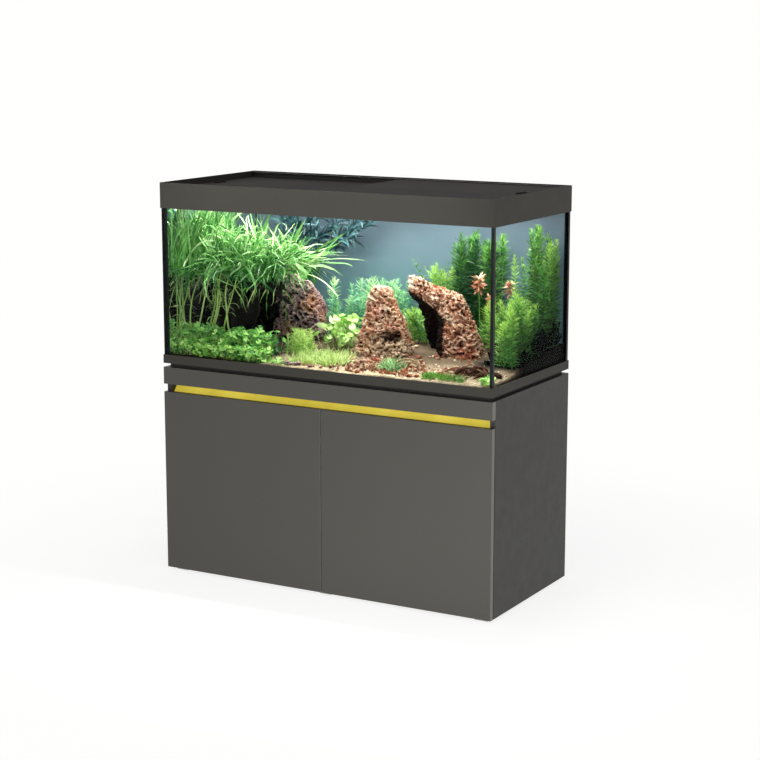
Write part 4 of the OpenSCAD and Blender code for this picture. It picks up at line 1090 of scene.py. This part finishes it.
def stem_plants():
    """The tall stem plants at the back and in the right corner, and the bushes under them."""
    look = "stem", "leaf_stem"
    whorls("back_stems", stand(31, (226, 425), (185, 262), (255, 378), (6, 0), 18),
           11, 9, (28, 52), (2.8, 4.8), 0.45, *look, -0.06, 0.45)
    whorls("back_sprays", stand(10, (150, 260), (200, 255), (205, 275), (-18, 0), 24),
           10, 8, (22, 38), (2.4, 4.0), 0.5, *look, 0.45, 0.4)
    whorls("stray_sprout", [(205, 228, 268, (-132, -4)), (212, 232, 246, (-96, 2))],
           18, 6, (12, 24), (2.6, 4.4), 0.6, *look, 0.4, taper=-0.3)
    whorls("arch_bush", stand(14, (385, 492), (122, 190), (90, 175), (0, -6), 10),
           8, 8, (22, 38), (2.2, 3.8), 0.7, *look, 0.45, 0.5)
    whorls("side_bush", stand(26, (552, 616), (-70, 80), (140, 228), (0, 0), 16),
           9, 9, (24, 44), (2.4, 4.2), 0.7, *look, 0.36, 0.6)
    whorls("corner_stems", stand(22, (545, 616), (150, 268), (290, 430), (0, 10), 14),
           11, 8, (26, 48), (2.8, 5.0), 0.5, *look, 0.1, 0.45)
    whorls("curled_stems", [(540, 90, 345, (10, -30)), (556, 120, 330, (4, -22))],
           13, 8, (18, 34), (3.2, 5.4), 0.7, *look, 0.35)


def front_growth():
    """Low growth by the rocks at the front: sprigs, moss and a few round leaves in the corner."""
    tufts("sprig_tufts", (196, -232), (252, -176), 60, 8, (12, 46), 0.9, (3.2, 6.0),
          "sprig", even(0, 1))
    tufts("moss_cushions", (372, -262), (522, -228), 120, 15, (8, 25), 1.1, (1.6, 2.8),
          "moss", skew(1.5, 1.6))
    discs("corner_sprigs", (592, -279), (630, -238), 60, (4, 24), (5, 9), "carpet",
          even(0.3, 1))


# ---------------------------------------------------------------- sand and what lies on it

# Low heaps: height, and place and half width along x and y
HEAPS = ((0.016, 0.50, 0.09, -0.21, 0.05), (0.010, 0.36, 0.14, -0.06, 0.07), (0.010, 0.11, 0.12, -0.12, 0.07))
# Roots: x and y of both ends, and the height of the arch, in millimetres
ROOTS = (
    (236, -196, 318, -188, 44), (248, -210, 300, -170, 30), (268, -176, 340, -205, 34),
    (300, -200, 345, -180, 22), (470, -216, 560, -196, 34), (486, -190, 600, -222, 30),
    (520, -210, 585, -180, 18), (420, -200, 500, -186, 22), (210, -168, 262, -200, 26),
)
# Sunk bits of wood, the same way
LOGS = (
    (478, -236, 548, -188, 26), (520, -196, 606, -226, 30), (560, -236, 618, -180, 22),
    (470, -196, 530, -214, 16), (536, -226, 584, -206, 38),
)


def sand():
    """Sand with gentle heaps instead of the plain wedge. Returns a function that gives its height."""
    nx, ny = 150, 70
    xs = np.linspace(SAND_LO[0], SAND_HI[0], nx)
    ys = np.linspace(SAND_LO[1], SAND_HI[1], ny)
    gx, gy = np.meshgrid(xs, ys, indexing="ij")

    def ripple(x, y):
        return 0.0045 * noise.fractal(Vector((x * 9, y * 9, 3.1)), 1.0, 2.0, 4)

    z = np.array([[bed_z(y) + ripple(x, y) for y in ys] for x in xs])
    edge_x = np.minimum(gx - SAND_LO[0], SAND_HI[0] - gx)
    edge = np.minimum(edge_x, np.minimum(gy - SAND_LO[1], SAND_HI[1] - gy))
    heap = sum(h * np.exp(-(((gx - x) / wx) ** 2 + ((gy - y) / wy) ** 2)) for h, x, wx, y, wy in HEAPS)
    z = np.minimum(z + heap * np.clip(edge / 0.03, 0, 1), SAND_HI[2] + 6 * MM)
    top = np.stack([gx, gy, z], axis=-1).reshape(-1, 3)
    i = np.arange(nx - 1)[:, None] * ny + np.arange(ny - 1)[None, :]
    quads = np.stack([i, i + ny, i + ny + 1, i + 1], axis=-1).reshape(-1, 4)
    # The rim runs once round the top, and the skirt hangs from it down to the pane
    front, right = np.arange(nx) * ny, (nx - 1) * ny + np.arange(1, ny)
    rim = np.concatenate([front, right, np.arange(nx - 2, -1, -1) * ny + ny - 1, np.arange(ny - 2, 0, -1)])
    foot = top[rim].copy()
    foot[:, 2] = SAND_LO[2]
    j = np.arange(len(rim))
    jn = (j + 1) % len(rim)
    skirt = np.stack([rim[j], len(top) + j, len(top) + jn, rim[jn]], axis=-1)
    under = (len(top) + j)[None, ::-1]
    obj = piece("sand_relief", np.concatenate([top, foot]), [quads, skirt, under], "sand")
    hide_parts("sand_bed")

    def ground_z(x, y):
        a = np.clip((x - xs[0]) / (xs[-1] - xs[0]) * (nx - 1), 0, nx - 1).astype(int)
        b = np.clip((y - ys[0]) / (ys[-1] - ys[0]) * (ny - 1), 0, ny - 1).astype(int)
        return z[a, b]

    return ground_z


def either(n, share, a, b):
    """n numbers from the first way of drawing for a share of them, and from the second for the rest."""
    return np.where(rng.random(n) < share, a(n), b(n))


def bell(middle, band):
    """The same round a middle, thinning out by band."""
    return lambda n: rng.normal(middle, band, n)


def lumps(ground_z):
    """Pebbles all over the sand, and sharp-edged rubble in front of the rocks."""
    ball = bmesh.new()
    bmesh.ops.create_icosphere(ball, subdivisions=2, radius=1)
    corners = np.array([v.co[:] for v in ball.verts])[None]
    faces = np.array([[v.index for v in f.verts] for f in ball.faces])[None]
    ball.free()

    def dents(n, depth, lo, hi):
        waves = rng.uniform(lo, hi, (n, 1, 3))
        return 1 + depth * np.sin(corners * waves + rng.uniform(0, 6, (n, 1, 3)))

    def strew(name, shapes, x, y, lift, material, key, values, smooth):
        verts = shapes + np.stack([x, y, ground_z(x, y) + lift], axis=-1)[:, None]
        tri = (np.arange(len(x))[:, None, None] * corners.shape[1] + faces).reshape(-1, 3)
        values = {key: np.repeat(values, corners.shape[1])}
        piece(name, keep_in(verts), [tri], material, values, smooth=smooth)

    n = 900
    x = rng.uniform(-0.62, 0.62, n)
    y = either(n, 0.7, even(-0.275, -0.12), even(-0.27, 0.2))
    near_arch = rng.random(n) < 0.4
    x = np.clip(np.where(near_arch, rng.normal(0.42, 0.12, n), x), -0.62, 0.62)
    r = np.minimum(rng.gamma(2.0, 1.1, n) * MM + 0.9 * MM, 8 * MM)
    scale = rng.uniform(0.6, 1.2, (n, 1, 3)) * np.array([1, 1, 0.7])
    dent = dents(n, 0.16, 1, 4)
    a = rng.uniform(0, np.pi, n)
    cos, sin, nil = np.cos(a), np.sin(a), 0 * a
    turn = [np.stack(row, -1) for row in ((cos, -sin, nil), (sin, cos, nil), (nil, nil, 1 + nil))]
    turn = np.stack(turn, axis=1)
    shapes = np.einsum("nij,nkj->nki", turn, corners * dent * scale * r[:, None, None])
    strew("pebbles", shapes, x, y, r * 0.25, "pebble", "tint", rng.random(n), True)

    n = 330
    x = either(n, 0.6, bell(0.17, 0.09), even(0.0, 0.46))
    y = either(n, 0.75, even(-0.262, -0.13), even(-0.2, 0.0))
    r = np.minimum((3.0 + rng.gamma(1.6, 1.9, n)) * MM, 11 * MM)
    shapes = corners * dents(n, 0.3, 2, 5) * rng.uniform(0.6, 1.25, (n, 1, 3)) * r[:, None, None]
    cavity = rng.beta(1.6, 1.8, n)
    strew("rubble", shapes, x, y, r * 0.3, "rock_rust", "cavity", cavity, False)


def roots_and_litter(ground_z):
    """Thin arched roots, sunk bits of wood and curled dead leaves on the sand."""
    points = 16
    t = np.linspace(0, 1, points)

    def line(ax, ay, bx, by, side, up):
        """A path over the sand, in metres, from its ends, its sideways bows and its height."""
        x, y = (ax + (bx - ax) * t + side[0]) * MM, (ay + (by - ay) * t + side[1]) * MM
        return np.stack([x, y, ground_z(x, y) + up * MM], axis=-1)

    lines = []
    for ax, ay, bx, by, h in ROOTS:
        side = 8 * np.sin(np.pi * 2 * t + ax), 10 * np.sin(np.pi * t + bx)
        lines.append(line(ax, ay, bx, by, side, h * np.sin(np.pi * t) ** 0.8 - 3))
    r = (np.linspace(3.6, 1.8, points)[None, :] + rng.normal(0, 0.3, (len(lines), points))) * MM
    tubes("roots", keep_in(np.stack(lines)), r, "twig")
    lines = []
    for ax, ay, bx, by, h in LOGS:
        side = 0, 6 * np.sin(7 * t + ax)
        lines.append(line(ax, ay, bx, by, side, h * np.sin(np.pi * (0.15 + 0.75 * t)) - 4))
    r = (6.0 + 2.0 * np.sin(9 * t)[None, :] + rng.normal(0, 1.1, (len(lines), points))) * MM
    tubes("sunk_wood", keep_in(np.stack(lines)), r, "log", sides=9)
    n = 260
    x = either(n, 0.6, bell(500, 42), bell(60, 150))
    y = either(n, 0.6, bell(-215, 22), bell(-225, 25))
    base = np.stack([x, y, 0 * x], axis=1) * MM
    base[:, 2] = ground_z(base[:, 0], base[:, 1]) + rng.uniform(0.5, 5, n) * MM
    p = bend(base, around(n) + [0, 0, 0.25], (14, 34), (0.4, 1.6), 5)
    plant("leaf_litter", p, (3, 8), "litter", shape=lance, twist=1.2)


ground_z = sand()
lumps(ground_z)
roots_and_litter(ground_z)
fern_leaves()
fern_stems()
dark_growth()
carpet()
bushes()
stem_plants()
rosettes()
front_growth()
# Each plant node, and the piece that stands for it
for node, stand_in in (
    ("java_fern", "fern_ribbons"), ("carpet_plants", "carpet_leaves"), ("bush_plants", "bush_back"),
    ("hair_grass", "hair_grass_blades"), ("stem_plants", "back_stems"), ("red_plants", "red_crowns"),
    ("moss", "moss_cushions"),
):
    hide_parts(node)

# ---------------------------------------------------------------- camera, light and stage

# From the fit of the camera to the photo: the lens, its place, and its turn left and down
LENS, SENSOR = 89.369, 36
CAMERA_AT = (3.26478, -5.65964, 1.96355)
YAW, PITCH = math.radians(29.4937), math.radians(10.8511)


def look(obj, at, way):
    obj.location = at
    obj.rotation_euler = Vector(way).to_track_quat("-Z", "Y").to_euler()


lens = bpy.data.cameras.new("camera")
lens.lens = LENS
lens.sensor_width = SENSOR
lens.clip_end = 100
camera = add("camera", lens)
level = math.cos(PITCH)
look(camera, CAMERA_AT, (-math.sin(YAW) * level, math.cos(YAW) * level, -math.sin(PITCH)))
bpy.context.scene.camera = camera


def area(name, at, towards, size, power, colour=(1, 1, 1), angle=180):
    """A rectangular lamp: its size in metres and its power in watts."""
    lamp = bpy.data.lights.new(name, "AREA")
    lamp.shape = "RECTANGLE"
    lamp.size, lamp.size_y = size
    lamp.energy = power
    lamp.color = colour
    lamp.spread = math.radians(angle)
    look(add(name, lamp), at, Vector(towards) - Vector(at))


TUBE = (1.0, 0.985, 0.94)
area("key", (0.65, -1.5, 0.3), (0.45, -0.3, 0.35), (0.8, 0.8), 6.5)
area("fill", (-3.2, -2.6, 1.8), (0, 0, 0.7), (2.0, 2.0), 2)
area("hood_strip", (-0.05, -1.9, 1.39), (-0.05, -0.3, 1.37), (1.3, 0.1), 0.95, angle=26)
area("tank_light_front", (0, -0.13, 1.345), (0, -0.13, 0), (1.16, 0.034), 6.6, TUBE, 150)
area("tank_light_back", (0, 0.13, 1.345), (0, 0.13, 0), (1.16, 0.034), 6.6, TUBE, 150)
area("tank_glow", (0, -0.02, 1.33), (0, 0.0, 0), (1.2, 0.4), 2.0, (0.95, 1.0, 1.0), 170)

# A white room for the camera, for metal and for glass, and a soft light for everything else
world = bpy.data.worlds.new("studio")
bpy.context.scene.world = world
w = Mat("studio", world, "OutputWorld")
ray = w.n("LightPath").outputs
seen = w.calc("MAXIMUM", ray["Is Camera Ray"], ray["Is Transmission Ray"])
seen = w.calc("MAXIMUM", seen, ray["Is Glossy Ray"])
soft = w.n("Background", Color=(0.96, 0.98, 1.0), Strength=0.3)
white = w.n("Background", Color=(1.0, 1.0, 0.985), Strength=1.0)
w.surface(w.layer(seen, soft, white))
bpy.context.scene.view_settings.view_transform = "Standard"

# The floor fades to plain white away from the object
mesh = bpy.data.meshes.new("floor")
grid = bmesh.new()
bmesh.ops.create_grid(grid, x_segments=2, y_segments=2, size=15)
grid.to_mesh(mesh)
grid.free()
floor = add("floor", mesh)
floor.location.z = -0.0005
m = Mat("floor")
far = m.n("VectorMath", {"operation": "LENGTH"}, Vector=m.coords()).outputs["Value"]
away = m.ramp(m.share(far, 0.7, 2.2), [(0.0, 0.0), (1.0, 1.0)], "EASE")
matt = m.n("BsdfPrincipled", Base_Color=(0.5, 0.5, 0.5), Roughness=0.9, Specular_IOR_Level=0.0,
           Emission_Color=(1, 1, 0.99), Emission_Strength=0.8)
plain = m.n("Emission", Color=(1.0, 1.0, 0.985), Strength=1.0)
mesh.materials.append(m.surface(m.layer(away, matt, plain)))
